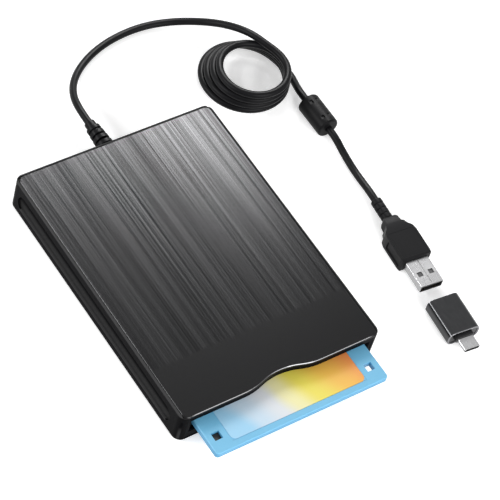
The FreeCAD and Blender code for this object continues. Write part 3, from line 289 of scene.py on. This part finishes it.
RIM_LOW = 17.6 * MM
GROOVE_INNER, GROOVE_OUTER, GROOVE_LIP = 50.5 * MM, 51.3 * MM, 50.9 * MM
GROOVE_LOW, GROOVE_LIT, GROOVE_DIM, GROOVE_TOP = 5.1 * MM, 9.0 * MM, 9.5 * MM, 14.5 * MM
GROOVE_MIDDLE, GROOVE_REACH = 0.85 * MM, 61.5 * MM
# Painted light: a lighter grey low in the groove where light falls on it, and painted highlights along
# the groove's lower lip and on the upper rim.
GROOVE_PAINTED_LIGHT, LIP_PAINTED_HIGHLIGHT, RIM_PAINTED_HIGHLIGHT = (0.027, 0.027, 0.0275), (0.060, 0.060, 0.061), (0.048, 0.048, 0.049)


def housing_plastic(name):
    """Black moulding: spark grain, a painted highlight on the upper rim and along the grooves' lower lip,
    painted light low in the grooves, and grooves dull above.
    """
    finish = Finish(name, 0.34, Specular_IOR_Level=0.01)
    x, y, z = map(finish.axis, "XYZ")
    side = abs(x)
    tone = finish.noise(60.0, 4.0)
    fine = finish.noise(SPARK_GRAIN, 2.0)
    finish.bump(fine, SPARK_DEPTH)
    sunk = side.above(GROOVE_INNER, 0.2 * MM) * side.below(GROOVE_OUTER, 0.4 * MM)
    # Painted light: the groove is a lighter grey low down, where light falls on it.
    lit = sunk * z.below(GROOVE_LIT, 4.0 * MM)
    dim = sunk * z.above(GROOVE_DIM, 1.5 * MM) * z.below(GROOVE_TOP, 0.2 * MM)
    # Painted highlight: a lighter line along the groove's lower lip.
    lip_highlight = side.above(GROOVE_LIP, 0.1 * MM) * abs(z - GROOVE_LOW).below(0.3 * MM, 0.2 * MM)
    lip_highlight = lip_highlight * abs(y - GROOVE_MIDDLE).below(GROOVE_REACH, 1.0 * MM)
    # Painted highlight: the upper rim is a lighter grey.
    rim_highlight = z.above(RIM_LOW, 0.5 * MM)
    colour = finish.mixed(tone, (0.0026, 0.0026, 0.003), (0.0042, 0.0042, 0.0048))
    for share, grey in ((lit, GROOVE_PAINTED_LIGHT), (lip_highlight, LIP_PAINTED_HIGHLIGHT), (rim_highlight, RIM_PAINTED_HIGHLIGHT)):
        colour = finish.mixed(share, colour, grey)
    return finish.surface(Base_Color=colour, Roughness=0.29 + 0.08 * tone + 0.04 * fine + 0.55 * dim)


BRUSH_START = -44.0 * MM
BRUSH_DEPTH, BRUSH_DEEPENS, BRUSH_CONTRAST = 0.62, 4.0, 4.8
CUT_BACK, CUT_REACH = -67.0 * MM, 46.5 * MM
CUT_LOW, CUT_TOP = 18.20 * MM, 18.43 * MM


def brushed_panel(name):
    """Dark anodised sheet: brushed along its length, smooth in front, with a bright cut edge."""
    finish = Finish(name, 0.4, Metallic=1.0)
    x, y, z = map(finish.axis, "XYZ")
    brushed = y.above(BRUSH_START, 0.8 * MM)
    hair = finish.streaks(3600.0, 9.0, 3.0, 0.7)
    band = finish.streaks(900.0, 2.5, 3.0, 0.75)
    cloud = finish.streaks(160.0, 1.2, 1.0, 0.5)
    grain = finish.streaks(5200.0, 900.0, 2.0, 0.6)
    streak = hair * 0.40 + band * 0.40 + cloud * 0.10 + grain * 0.10
    depth = (y - BRUSH_START) * BRUSH_DEEPENS + BRUSH_DEPTH
    tone = (streak - 0.5) * brushed * depth * BRUSH_CONTRAST + 0.5
    finish.bump(grain * brushed, 0.003 * MM, 0.4)
    colour = finish.mixed(tone, (0.005, 0.005, 0.0052), (0.036, 0.036, 0.0368))
    colour = finish.mixed(brushed, (0.019, 0.019, 0.0194), colour)
    cut = y.below(CUT_BACK, 0.2 * MM) * abs(x).below(CUT_REACH, 2.0 * MM)
    cut = cut * z.above(CUT_LOW, 0.04 * MM) * z.below(CUT_TOP, 0.03 * MM)
    return finish.surface(Base_Color=finish.mixed(cut, colour, (0.13, 0.13, 0.133)),
                          Roughness=0.25 + 0.08 * (streak - 0.5) * brushed - 0.12 * cut)


SEAM_FRONT, SEAM_HALF = -53.0 * MM, 0.09 * MM


def plug_nickel(name):
    """Drawn plug shell: grey plating with faint lines, and the folded seam along its broad side."""
    finish = Finish(name, 0.26, Metallic=1.0)
    x, y, z = map(finish.axis, "XYZ")
    start = PLUG_START * MM
    lines = finish.noise(1500.0, 4.0, 0.6, (1.0, 0.1, 1.0))
    cloud = finish.noise(140.0, 3.0)
    aside = (x - start.x) * math.cos(PLUG_TURN) - (y - start.y) * math.sin(PLUG_TURN)
    seam = abs(aside).below(SEAM_HALF, 0.06 * MM) * y.above(SEAM_FRONT, 0.5 * MM)
    seam = seam * z.above(start.z, 1.0 * MM)
    finish.bump(lines * 0.2 - seam, 0.04 * MM)
    colour = finish.mixed(lines * 0.6 + cloud * 0.4, (0.34, 0.34, 0.345), (0.43, 0.43, 0.435))
    return finish.surface(Base_Color=finish.mixed(seam, colour, (0.10, 0.10, 0.10)),
                          Roughness=0.20 + 0.14 * cloud)


NOSE_RIM, MOUTH_RIM = 0.35 * MM, 19.7 * MM


def gunmetal(name):
    """Dark glossy plating with a polished rim at each end of the sleeve."""
    finish = Finish(name, 0.2, Metallic=1.0)
    x, y = map(finish.axis, "XY")
    lines = finish.noise(1400.0, 4.0, 0.6, (1.0, 0.2, 1.0))
    along = y * math.cos(PLUG_TURN) + x * math.sin(PLUG_TURN)
    nose = along.below(SLEEVE_NOSE + NOSE_RIM, 0.1 * MM)
    mouth = along.above(SLEEVE_NOSE + MOUTH_RIM, 0.1 * MM)
    colour = finish.mixed(lines, (0.036, 0.0365, 0.038), (0.054, 0.055, 0.057))
    finish.bump(lines, 0.002 * MM)
    return finish.surface(Base_Color=finish.mixed(nose.larger(mouth), colour, (0.22, 0.22, 0.23)),
                          Roughness=0.16 + 0.10 * lines)


def foot_rubber(name):
    """Black rubber, dull and a little dusty."""
    finish = Finish(name, 0.85, Specular_IOR_Level=0.25)
    dust = finish.noise(300.0, 5.0)
    finish.bump(finish.noise(5000.0, 2.0), 0.02 * MM)
    return finish.surface(Base_Color=finish.mixed(dust, (0.02, 0.02, 0.02), (0.032, 0.032, 0.032)),
                          Roughness=0.78 + 0.12 * dust)


def lamp_lens(name):
    """Unlit green lens, hazy inside."""
    finish = Finish(name, 0.2, Specular_IOR_Level=0.5)
    haze = finish.noise(800.0, 3.0)
    return finish.surface(Base_Color=finish.mixed(haze, (0.12, 0.30, 0.14), (0.22, 0.46, 0.22)),
                          Roughness=0.15 + 0.15 * haze)


def board_green(name):
    """Circuit board: solder mask over faint tracks that run along and across."""
    finish = Finish(name, 0.35)
    along = finish.noise(1.0, 0.0, 0.0, (1400.0, 60.0, 1.0)).above(0.52, 0.03)
    across = finish.noise(1.0, 0.0, 0.0, (60.0, 1400.0, 1.0)).above(0.55, 0.03)
    tracks = along.larger(across)
    finish.bump(tracks, 0.03 * MM)
    return finish.surface(Base_Color=finish.mixed(tracks, (0.010, 0.075, 0.030), (0.022, 0.13, 0.05)),
                          Roughness=0.4 - 0.12 * tracks)


def winding(name):
    """Enamelled copper wire, seen as close parallel turns, with a painted highlight on each turn and
    painted shade between turns.
    """
    finish = Finish(name, 0.32, Metallic=1.0)
    # Painted light: the colour is brighter on each turn's crest and darker in the crease between turns.
    turns = finish.axis("Z").wave(22000.0)
    finish.bump(turns, 0.06 * MM)
    return finish.surface(Base_Color=finish.mixed(turns, (0.25, 0.07, 0.025), (0.78, 0.30, 0.13)),
                          Roughness=0.42 - 0.16 * turns)


def ribbon(name):
    """Flat cable: grey jacket raised over its parallel wires, with a painted highlight on the raised
    lines and painted shade between them.
    """
    finish = Finish(name, 0.45)
    # Painted light: the jacket is lighter over each wire and darker in the grooves between.
    wires = finish.axis("Y").wave(9000.0)
    finish.bump(wires, 0.05 * MM)
    return finish.surface(Base_Color=finish.mixed(wires, (0.42, 0.43, 0.45), (0.72, 0.73, 0.74)),
                          Roughness=0.5 - 0.1 * wires)


FILM_MIDDLE = -40.5 * MM


def film(name):
    """The magnetic disk: dark brown, turned finish in fine rings round its middle."""
    finish = Finish(name, 0.22)
    x, y = finish.axis("X"), finish.axis("Y") - FILM_MIDDLE
    radius = (x * x + y * y).power(0.5)
    rings = finish.add("ShaderNodeTexNoise", {"noise_dimensions": "1D"}, output="Fac",
                       W=radius, Scale=2500.0, Detail=3.0)
    return finish.surface(Base_Color=finish.mixed(rings, (0.025, 0.014, 0.009), (0.06, 0.034, 0.022)),
                          Roughness=0.18 + 0.12 * rings)


DISK_EDGE = 12.25 * MM


def disk_plastic(name):
    """Sky blue shell plastic: satin, with painted shade making its sides below the broad top a deeper
    blue.
    """
    finish = Finish(name, 0.42, Specular_IOR_Level=0.4)
    tone = finish.noise(45.0, 3.0)
    fine = finish.noise(7000.0, 2.0)
    finish.bump(fine, 0.012 * MM)
    # Painted shade: the sides below the broad top take a darker blue.
    side_shade = finish.axis("Z").below(DISK_EDGE, 0.15 * MM)
    colour = finish.mixed(tone, (0.134, 0.415, 0.635), (0.172, 0.472, 0.695))
    return finish.surface(Base_Color=finish.mixed(side_shade, colour, (0.085, 0.31, 0.52)),
                          Roughness=0.38 + 0.10 * fine)


LABEL_LEFT, LABEL_RIGHT, LABEL_FRONT = -35.0 * MM, 35.0 * MM, -72.0 * MM
LABEL_DRIFT, LABEL_SLANT = 0.22, 7.0
LABEL_RAMP = [(0.0, (0.30, 0.56, 0.76)), (0.14, (0.50, 0.63, 0.74)), (0.32, (0.64, 0.67, 0.70)),
              (0.46, (0.76, 0.72, 0.38)), (0.62, (0.74, 0.64, 0.09)), (0.80, (0.78, 0.44, 0.07)),
              (1.0, (0.76, 0.24, 0.07))]


def label_wash(finish, share):
    """The label's colours, one after another as the share goes from 0 to 1."""
    ramp = finish.add("ShaderNodeValToRGB", {}, share, output="Color")
    bar = ramp.socket.node.color_ramp
    bar.interpolation = "EASE"
    while len(bar.elements) < len(LABEL_RAMP):
        bar.elements.new(0.5)
    for element, (stop, colour) in zip(bar.elements, LABEL_RAMP):
        element.position = stop
        element.color = (*colour, 1.0)
    return ramp


def label_paper(name):
    """Coated paper with a soft wash of colour from cool to warm, and paper fibre in its gloss."""
    finish = Finish(name, 0.5, Specular_IOR_Level=0.4)
    x, y = map(finish.axis, "XY")
    drift = finish.noise(22.0, 2.0) - 0.5
    share = (x - LABEL_LEFT) / (LABEL_RIGHT - LABEL_LEFT) + drift * LABEL_DRIFT
    share = share + (y - LABEL_FRONT) * LABEL_SLANT
    fibre = finish.noise(2200.0, 5.0, 0.7)
    finish.bump(fibre, 0.01 * MM)
    return finish.surface(Base_Color=label_wash(finish, share), Roughness=0.42 + 0.14 * fibre)


GRIP_LEFT, GRIP_TAIL, GRIP_TOP = 89.0 * MM, -15.5 * MM, 7.7 * MM


def cord_jacket(name):
    """Soft black jacket with dust and a faint drag in it, duller on the broad top of the plug's grip."""
    finish = Finish(name, 0.36, Specular_IOR_Level=0.08)
    x, y, z = map(finish.axis, "XYZ")
    tone = finish.noise(120.0, 4.0)
    fine = finish.noise(4500.0, 3.0)
    finish.bump(fine, 0.015 * MM)
    grip = x.above(GRIP_LEFT, 1.0 * MM) * y.below(GRIP_TAIL, 1.0 * MM) * z.above(GRIP_TOP, 0.3 * MM)
    return finish.surface(Base_Color=finish.mixed(tone, (0.004, 0.004, 0.0045), (0.008, 0.008, 0.009)),
                          Roughness=0.30 + 0.22 * grip + 0.10 * tone + 0.06 * fine)


SHAPED = {
    "housing_plastic": housing_plastic, "panel_metal": brushed_panel, "foot_rubber": foot_rubber,
    "lamp_lens": lamp_lens, "coil_copper": winding, "board": board_green, "flat_cable": ribbon,
    "disk_blue": disk_plastic, "label_paper": label_paper, "film": film, "cord_jacket": cord_jacket,
    "plug_nickel": plug_nickel, "adapter_gunmetal": gunmetal,
}


def make_finishes():
    """Every material slot of the record, by name."""
    finishes = {name: shaped(name) for name, shaped in SHAPED.items()}
    finishes |= {name: moulded(name, *values) for name, values in MOULDED.items()}
    finishes |= {name: plated(name, *values) for name, values in PLATED.items()}
    return finishes


# Modelling

CIRCLE_SIDES = 40
SUNK_SLOPE = 0.15


def deselect():
    bpy.ops.object.select_all(action="DESELECT")


def take(piece):
    """Makes one object the only selected and active one."""
    deselect()
    piece.select_set(True)
    bpy.context.view_layer.objects.active = piece


def edit(piece):
    take(piece)
    bpy.ops.object.mode_set(mode="EDIT")
    bpy.ops.mesh.select_all(action="SELECT")


def end_edit():
    bpy.ops.object.mode_set(mode="OBJECT")


def select(piece, kind, test):
    """Selects, in edit mode, the faces or edges that pass the test."""
    bpy.ops.mesh.select_mode(type=kind)
    bpy.ops.mesh.select_all(action="DESELECT")
    end_edit()
    for element in piece.data.polygons if kind == "FACE" else piece.data.edges:
        element.select = test(element)
    bpy.ops.object.mode_set(mode="EDIT")


def apply_transform():
    bpy.ops.object.transform_apply(location=True, rotation=True, scale=True)


def ease(piece, width, steps, sharp, smooth):
    """Rounds the edges sharper than one angle, then shades smooth under another.

    Weighted normals keep broad faces flat up to their eased edges.
    """
    take(piece)
    if width > 0:
        bevel = piece.modifiers.new("edges", "BEVEL")
        bevel.width, bevel.segments = width, steps
        bevel.limit_method, bevel.angle_limit = "ANGLE", math.radians(sharp)
        bpy.ops.object.modifier_apply(modifier=bevel.name)
    bpy.ops.object.shade_smooth_by_angle(angle=math.radians(smooth))
    weighted = piece.modifiers.new("broad_faces_flat", "WEIGHTED_NORMAL")
    weighted.keep_sharp = True
    bpy.ops.object.modifier_apply(modifier=weighted.name)
    return piece


def start_face(round_section, place, wide, tall):
    """A round or square face across Y, of a half width and a half height."""
    deselect()
    where = {"location": (0.0, place, 0.0), "rotation": (math.radians(90.0), 0.0, 0.0)}
    if round_section:
        bpy.ops.mesh.primitive_circle_add(vertices=CIRCLE_SIDES, radius=1.0, fill_type="NGON", **where)
    else:
        bpy.ops.mesh.primitive_plane_add(size=2.0, **where)
    piece = bpy.context.object
    piece.scale = (wide, tall, 1.0)
    apply_transform()
    return piece


def drawn_out(name, round_section, sections):
    """A face drawn out along -Y through sections of (distance, half width, half height) in mm."""
    first, *others = [tuple(size * MM for size in section) for section in sections]
    start, wide, tall = first
    piece = start_face(round_section, start, wide, tall)
    piece.name = name
    edit(piece)
    for place, next_wide, next_tall in others:
        bpy.ops.mesh.extrude_region_move(TRANSFORM_OT_translate={"value": (0.0, place - start, 0.0)})
        grow = (next_wide / wide, 1.0, next_tall / tall)
        bpy.ops.transform.resize(value=grow, center_override=(0.0, place, 0.0))
        start, wide, tall = place, next_wide, next_tall
    bpy.ops.mesh.select_all(action="SELECT")
    bpy.ops.mesh.normals_make_consistent(inside=False)
    end_edit()
    return piece


def sink(piece, test, border, depth):
    """A recessed field, with a sloping wall, inside the faces that pass the test."""
    edit(piece)
    select(piece, "FACE", test)
    bpy.ops.mesh.inset(thickness=border, depth=0.0)
    bpy.ops.mesh.inset(thickness=border * SUNK_SLOPE, depth=-depth)
    end_edit()


def joined(pieces):
    take(pieces[0])
    for piece in pieces[1:]:
        piece.select_set(True)
    bpy.ops.object.join()
    return pieces[0]


def lay_on_table(piece, along=0.0):
    """Turns and moves a piece from the plug's own axis to where the plug lies."""
    take(piece)
    piece.matrix_world = PLUG_FRAME @ Matrix.Translation((0.0, along, 0.0))
    apply_transform()
    return piece


# Pieces

def dress_nodes(finishes):
    """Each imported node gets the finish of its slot."""
    for part in frame["record"]["subparts"]:
        for slot in frame["nodes"][part["node"]].material_slots:
            slot.material = finishes[part["material_slot"]]


def slot_of(node):
    parts = frame["record"]["subparts"]
    return next(part["material_slot"] for part in parts if part["node"] == node)


def settle(piece, node, finishes):
    """Gives a finished piece its body and the material of the node's slot, and hides the node."""
    piece.data.materials.clear()
    piece.data.materials.append(finishes[slot_of(node)])
    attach(piece, frame["nodes"][node]["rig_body"])
    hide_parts(node)
    return piece


NODE_STEPS, NODE_SHARP = 2, 35.0
SAME_POINT, FLAT = 0.002 * MM, math.radians(0.5)

# Nodes that are seen with softer edges, and how far those are rounded, in millimetres.
EASED = {
    "top_cover": 0.22, "bottom_cover": 0.12, "top_panel": 0.10, "front_bezel": 0.15,
    "eject_button": 0.12, "strain_relief": 0.18, "disk_upper_shell": 0.08, "disk_lower_shell": 0.08,
    "disk_shutter": 0.0, "disk_label": 0.0, "write_tab": 0.08, "ferrite_sleeve": 0.18,
    "usb_shell": 0.0, "usb_tongue": 0.06, "adapter_collar": 0.08, "adapter_plug": 0.05,
    "adapter_socket": 0.0, "adapter_blade": 0.0, "rubber_feet": 0.10, "case_screws": 0.06,
    "led_lens": 0.05,
}


def softened(node, finishes, edge):
    """A merged copy of the node with its sharp edges eased and its round faces smooth."""
    piece = bpy.data.objects.new(node + "_eased", frame["nodes"][node].data.copy())
    bpy.context.scene.collection.objects.link(piece)
    edit(piece)
    bpy.ops.mesh.remove_doubles(threshold=SAME_POINT)
    bpy.ops.mesh.dissolve_limited(angle_limit=FLAT, use_dissolve_boundaries=False)
    end_edit()
    ease(piece, edge * MM, NODE_STEPS, NODE_SHARP, NODE_SHARP)
    return settle(piece, node, finishes)


# Plug grip, along its own axis: (distance, half width, half height) in millimetres.
GRIP_TAIL_START = [(0.0, 2.35, 2.35), (-0.3, 2.7, 2.7)]
GRIP_RINGS, RING_PITCH = 4, 3.0
RING = [(-2.35, 2.75), (-2.6, 2.3), (-3.0, 2.3), (-3.2, 2.75)]
GRIP_OUTLINE = [(-11.6, 3.0, 2.6), (-12.6, 3.6, 3.2), (-15.6, 3.9, 3.5), (-16.4, 4.9, 3.8),
                (-18.2, 5.6, 3.9), (-20.0, 7.3, 3.95), (-22.6, 7.9, 3.95), (-35.2, 7.9, 3.95),
                (-36.9, 7.6, 3.8)]
FIELD_START, FIELD_BORDER, FIELD_DEEP = -20.0 * MM, 1.2 * MM, 0.12 * MM
LEDGE_START, LEDGE_BORDER, LEDGE_DEEP = -24.0 * MM, 1.5 * MM, 0.5 * MM
FACING = 0.95

# Width of an eased edge, its steps, and the angles over which it is sharp and under which smooth.
RING_EASE = (0.12 * MM, 2, 30.0, 40.0)
GRIP_EASE = (0.35 * MM, 3, 25.0, 35.0)
SLEEVE_EASE = (0.22 * MM, 2, 35.0, 45.0)


def grip_rings():
    """The grip's ringed tail."""
    sections = list(GRIP_TAIL_START)
    for ring in range(GRIP_RINGS):
        start = -RING_PITCH * ring
        sections += [(start + place, radius, radius) for place, radius in RING]
    return ease(drawn_out("grip_rings", True, sections), *RING_EASE)


def make_grip(finishes):
    """Plug grip: ringed tail, stepped neck and shoulders, side ledges and a sunk field."""
    def broad_face(face):
        return abs(face.normal.z) > FACING and face.center.y < FIELD_START

    def side_face(face):
        return abs(face.normal.x) > FACING and face.center.y < LEDGE_START

    rings = grip_rings()
    grip = drawn_out("plug_grip", False, GRIP_OUTLINE)
    sink(grip, side_face, LEDGE_BORDER, LEDGE_DEEP)
    sink(grip, broad_face, FIELD_BORDER, FIELD_DEEP)
    ease(grip, *GRIP_EASE)
    return settle(lay_on_table(joined([grip, rings])), "plug_overmould", finishes)


SLEEVE_WIDE, SLEEVE_TALL = 16.4 * MM, 8.2 * MM
SLEEVE_CORNER, CORNER_STEPS = 3.0 * MM, 10
SLEEVE_WALL, SOCKET_DEEP = 0.9 * MM, 18.6 * MM
NOSE_BORDER, NOSE_SLOPE, NOSE_SUNK = 0.75 * MM, 0.12 * MM, 0.5 * MM


def sleeve_block():
    """The sleeve's plain block, from its mouth at Y = 0 to its nose."""
    deselect()
    bpy.ops.mesh.primitive_cube_add(size=1.0, location=(0.0, -SLEEVE_DEEP / 2, 0.0))
    block = bpy.context.object
    block.name = "adapter_sleeve"
    block.scale = (SLEEVE_WIDE, SLEEVE_DEEP, SLEEVE_TALL)
    apply_transform()
    return block


def make_adapter_body(finishes):
    """Adapter sleeve: round long edges, a socket bay, polished rims and a sunk nose end."""
    sleeve = sleeve_block()

    def long_edge(edge):
        first, second = [sleeve.data.vertices[index].co.y for index in edge.vertices]
        return abs(first - second) > SLEEVE_DEEP / 2

    edit(sleeve)
    select(sleeve, "EDGE", long_edge)
    bpy.ops.mesh.bevel(offset=SLEEVE_CORNER, segments=CORNER_STEPS)
    select(sleeve, "FACE", lambda face: face.normal.y > FACING)
    bpy.ops.mesh.inset(thickness=SLEEVE_WALL)
    bpy.ops.mesh.extrude_region_move(TRANSFORM_OT_translate={"value": (0.0, -SOCKET_DEEP, 0.0)})
    select(sleeve, "FACE", lambda face: face.normal.y < -FACING)
    bpy.ops.mesh.inset(thickness=NOSE_BORDER)
    bpy.ops.mesh.inset(thickness=NOSE_SLOPE, depth=-NOSE_SUNK)
    end_edit()
    ease(sleeve, *SLEEVE_EASE)
    return settle(lay_on_table(sleeve, SLEEVE_START), "adapter_body", finishes)


# Cord, in millimetres up to the curve itself

CORD_THICK, CORD_FLOOR = 3.6, 1.85
CORD_SMOOTHNESS, CORD_ROUNDNESS, CORD_ORDER = 6, 5, 3
LEAD = [(0.0, 89.5, 9.0), (0.0, 98.5, 9.0), (3.2, 109.0, 6.2), (9.8, 118.6, 3.2), (19.6, 126.4, 2.0),
        (31.6, 131.8, 1.9), (44.8, 134.6, 1.9), (58.2, 134.6, 2.4), (70.6, 131.2, 3.6),
        (81.2, 124.0, 6.8), (89.2, 113.6, 12.2)]
COIL_TURNS, COIL_STEPS, COIL_PITCH = 4.04, 18, 4.12
COIL_START = math.radians(20.0)
COIL_TOP, COIL_TOP_RADIUS = Vector((84.6, 80.2, 0.0)), 15.6
COIL_BASE, COIL_BASE_RADIUS = Vector((85.9, 88.0, 0.0)), 21.3
COIL_LANDING, COIL_MARGIN, TURN_STEP = 0.3, 1e-3, 1e-4
COIL_LEAD_IN, COIL_RUN_OUT = 12.0, 7.0
TAIL = [(106.4, 73.2, 3.2)]
FERRITE_ENTRY, FERRITE_LEAVE = Vector((104.2, 60.4, 5.5)), Vector((104.2, 42.4, 5.5))
ENTRY_STRAIGHT, LEAVE_STRAIGHT = Vector((0.0, 7.0, 0.0)), Vector((0.0, 6.0, 0.0))
SPAN = [(104.0, 28.6, 3.2), (103.5, 19.0, 2.0), (102.8, 11.0, 2.6)]
PLUG_STRAIGHT = 5.8


def coil_point(turn):
    """A place on the coil's line after so many turns: it widens, leans and sinks to the table."""
    share = turn / COIL_TURNS
    centre = COIL_TOP.lerp(COIL_BASE, share)
    radius = COIL_TOP_RADIUS * (1 - share) + COIL_BASE_RADIUS * share
    angle = COIL_START - 2 * math.pi * turn
    left = COIL_TURNS - turn
    landing = left * left / (2 * COIL_LANDING)
    rise = left - COIL_LANDING / 2 if left > COIL_LANDING else landing
    height = CORD_FLOOR + COIL_PITCH * rise
    return centre + Vector((radius * math.cos(angle), radius * math.sin(angle), height))


def coil_heading(turn):
    return (coil_point(turn + TURN_STEP) - coil_point(turn - TURN_STEP)).normalized()


def coil_route():
    """The coil with the straight pieces that lead into it and out of it."""
    first, into = coil_point(0.0), coil_heading(COIL_MARGIN)
    last, away = coil_point(COIL_TURNS), coil_heading(COIL_TURNS - COIL_MARGIN)
    lead_in, run_out = first - into * CORD_THICK, last + away * CORD_THICK
    steps = round(COIL_TURNS * COIL_STEPS)
    coil = [coil_point(COIL_TURNS * step / steps) for step in range(steps + 1)]
    return [lead_in - into * COIL_LEAD_IN, lead_in, *coil, run_out, run_out + away * COIL_RUN_OUT]


def cord_route():
    """The cord's points from the strain relief to the plug."""
    ferrite = [FERRITE_ENTRY + ENTRY_STRAIGHT, FERRITE_ENTRY, (FERRITE_ENTRY + FERRITE_LEAVE) / 2,
               FERRITE_LEAVE, FERRITE_LEAVE - LEAVE_STRAIGHT]
    return [*map(Vector, LEAD), *coil_route(), *map(Vector, TAIL), *ferrite, *map(Vector, SPAN),
            PLUG_START + PLUG_BACK * PLUG_STRAIGHT, PLUG_START]


def cord_curve(route):
    """A round tube through the route."""
    data = bpy.data.curves.new("cord", "CURVE")
    data.dimensions = "3D"
    data.resolution_u = CORD_SMOOTHNESS
    data.bevel_depth = CORD_THICK / 2 * MM
    data.bevel_resolution = CORD_ROUNDNESS
    data.use_fill_caps = True
    spline = data.splines.new("NURBS")
    spline.points.add(len(route) - 1)
    for point, place in zip(spline.points, route):
        point.co = (*(place * MM), 1.0)
    spline.order_u = CORD_ORDER
    spline.use_endpoint_u = True
    return data


def make_cord(finishes):
    cord = bpy.data.objects.new("cord", cord_curve(cord_route()))
    bpy.context.scene.collection.objects.link(cord)
    cord.data.materials.append(finishes["cord_jacket"])
    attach(cord, "housing")
    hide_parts("cord_lead", "cord_coil", "cord_tail", "cord_span")


# Studio

FLOOR_SIZE, FLOOR_GLOW, WORLD_LEVEL = 8.0, 0.45, 0.36

# Name, place, what it is aimed at, size, watts, and whether it lights more than reflections.
LAMPS = [
    ("back_softbox", (0.43, 0.60, 0.50), (0.04, 0.08, 0.0), (0.30, 0.28), 1.8, True),
    ("back_card", (0.200, 0.290, 0.285), (0.025, 0.064, 0.018), (0.24, 0.11), 2.3, False),
    ("front_fill", (0.0, -0.88, 0.46), (0.03, 0.0, 0.0), (0.60, 0.50), 8.0, True),
    ("left_strip", (-0.72, 0.40, 0.40), (-0.05, 0.0, 0.01), (0.60, 0.10), 5.4, True),
    ("front_strip", (0.42, -0.80, 0.40), (0.0, -0.07, 0.02), (0.50, 0.12), 0.8, True),
]


def make_floor():
    """A matt white table that keeps the object's shadow, and glows a little where it is seen."""
    bpy.ops.mesh.primitive_plane_add(size=FLOOR_SIZE, location=(0.0, 0.0, 0.0))
    floor = bpy.context.object
    floor.name = "floor"
    finish = Finish("floor_white", 0.9, Specular_IOR_Level=0.0)
    cloud = finish.noise(2.0, 2.0)
    finish.surface(Base_Color=finish.mixed(cloud, (0.93, 0.93, 0.93), (0.95, 0.95, 0.95)))
    matt = finish.out(finish.shader)
    glow = finish.add("ShaderNodeEmission", {}, Color=WHITE, Strength=FLOOR_GLOW)
    both = finish.add("ShaderNodeAddShader", {}, matt, glow)
    lit = finish.add("ShaderNodeMixShader", {}, finish.seen_directly(), matt, both)
    finish.feed_named(finish.tree.nodes["Material Output"], {"Surface": lit})
    floor.data.materials.append(finish.material)


def make_world():
    """White where it is seen, and a softer level for what it lights."""
    world = bpy.data.worlds.new("studio")
    world.use_nodes = True
    bpy.context.scene.world = world
    net = Net(world.node_tree)
    sky = net.tree.nodes["Background"]
    net.feed_named(sky, {"Color": WHITE, "Strength": WORLD_LEVEL})
    white = net.add("ShaderNodeBackground", {}, Color=WHITE, Strength=1.0)
    both = net.add("ShaderNodeMixShader", {}, net.seen_directly(), net.out(sky), white)
    net.feed_named(net.tree.nodes["World Output"], {"Surface": both})


def make_lamps():
    for name, place, aim, size, power, diffuse in LAMPS:
        data = bpy.data.lights.new(name, "AREA")
        data.shape = "RECTANGLE"
        data.size, data.size_y = size
        data.energy = power
        lamp = bpy.data.objects.new(name, data)
        lamp.location = place
        look = Vector(aim) - Vector(place)
        lamp.rotation_euler = look.to_track_quat("-Z", "Y").to_euler()
        lamp.visible_diffuse = diffuse
        lamp.visible_camera = False
        bpy.context.scene.collection.objects.link(lamp)


def main():
    bpy.context.scene.view_settings.view_transform = "Standard"
    make_camera()
    finishes = make_finishes()
    dress_nodes(finishes)
    eased = {node: softened(node, finishes, edge) for node, edge in EASED.items()}
    grip = make_grip(finishes)
    make_adapter_body(finishes)
    make_cord(finishes)
    make_floor()
    make_world()
    make_lamps()


main()
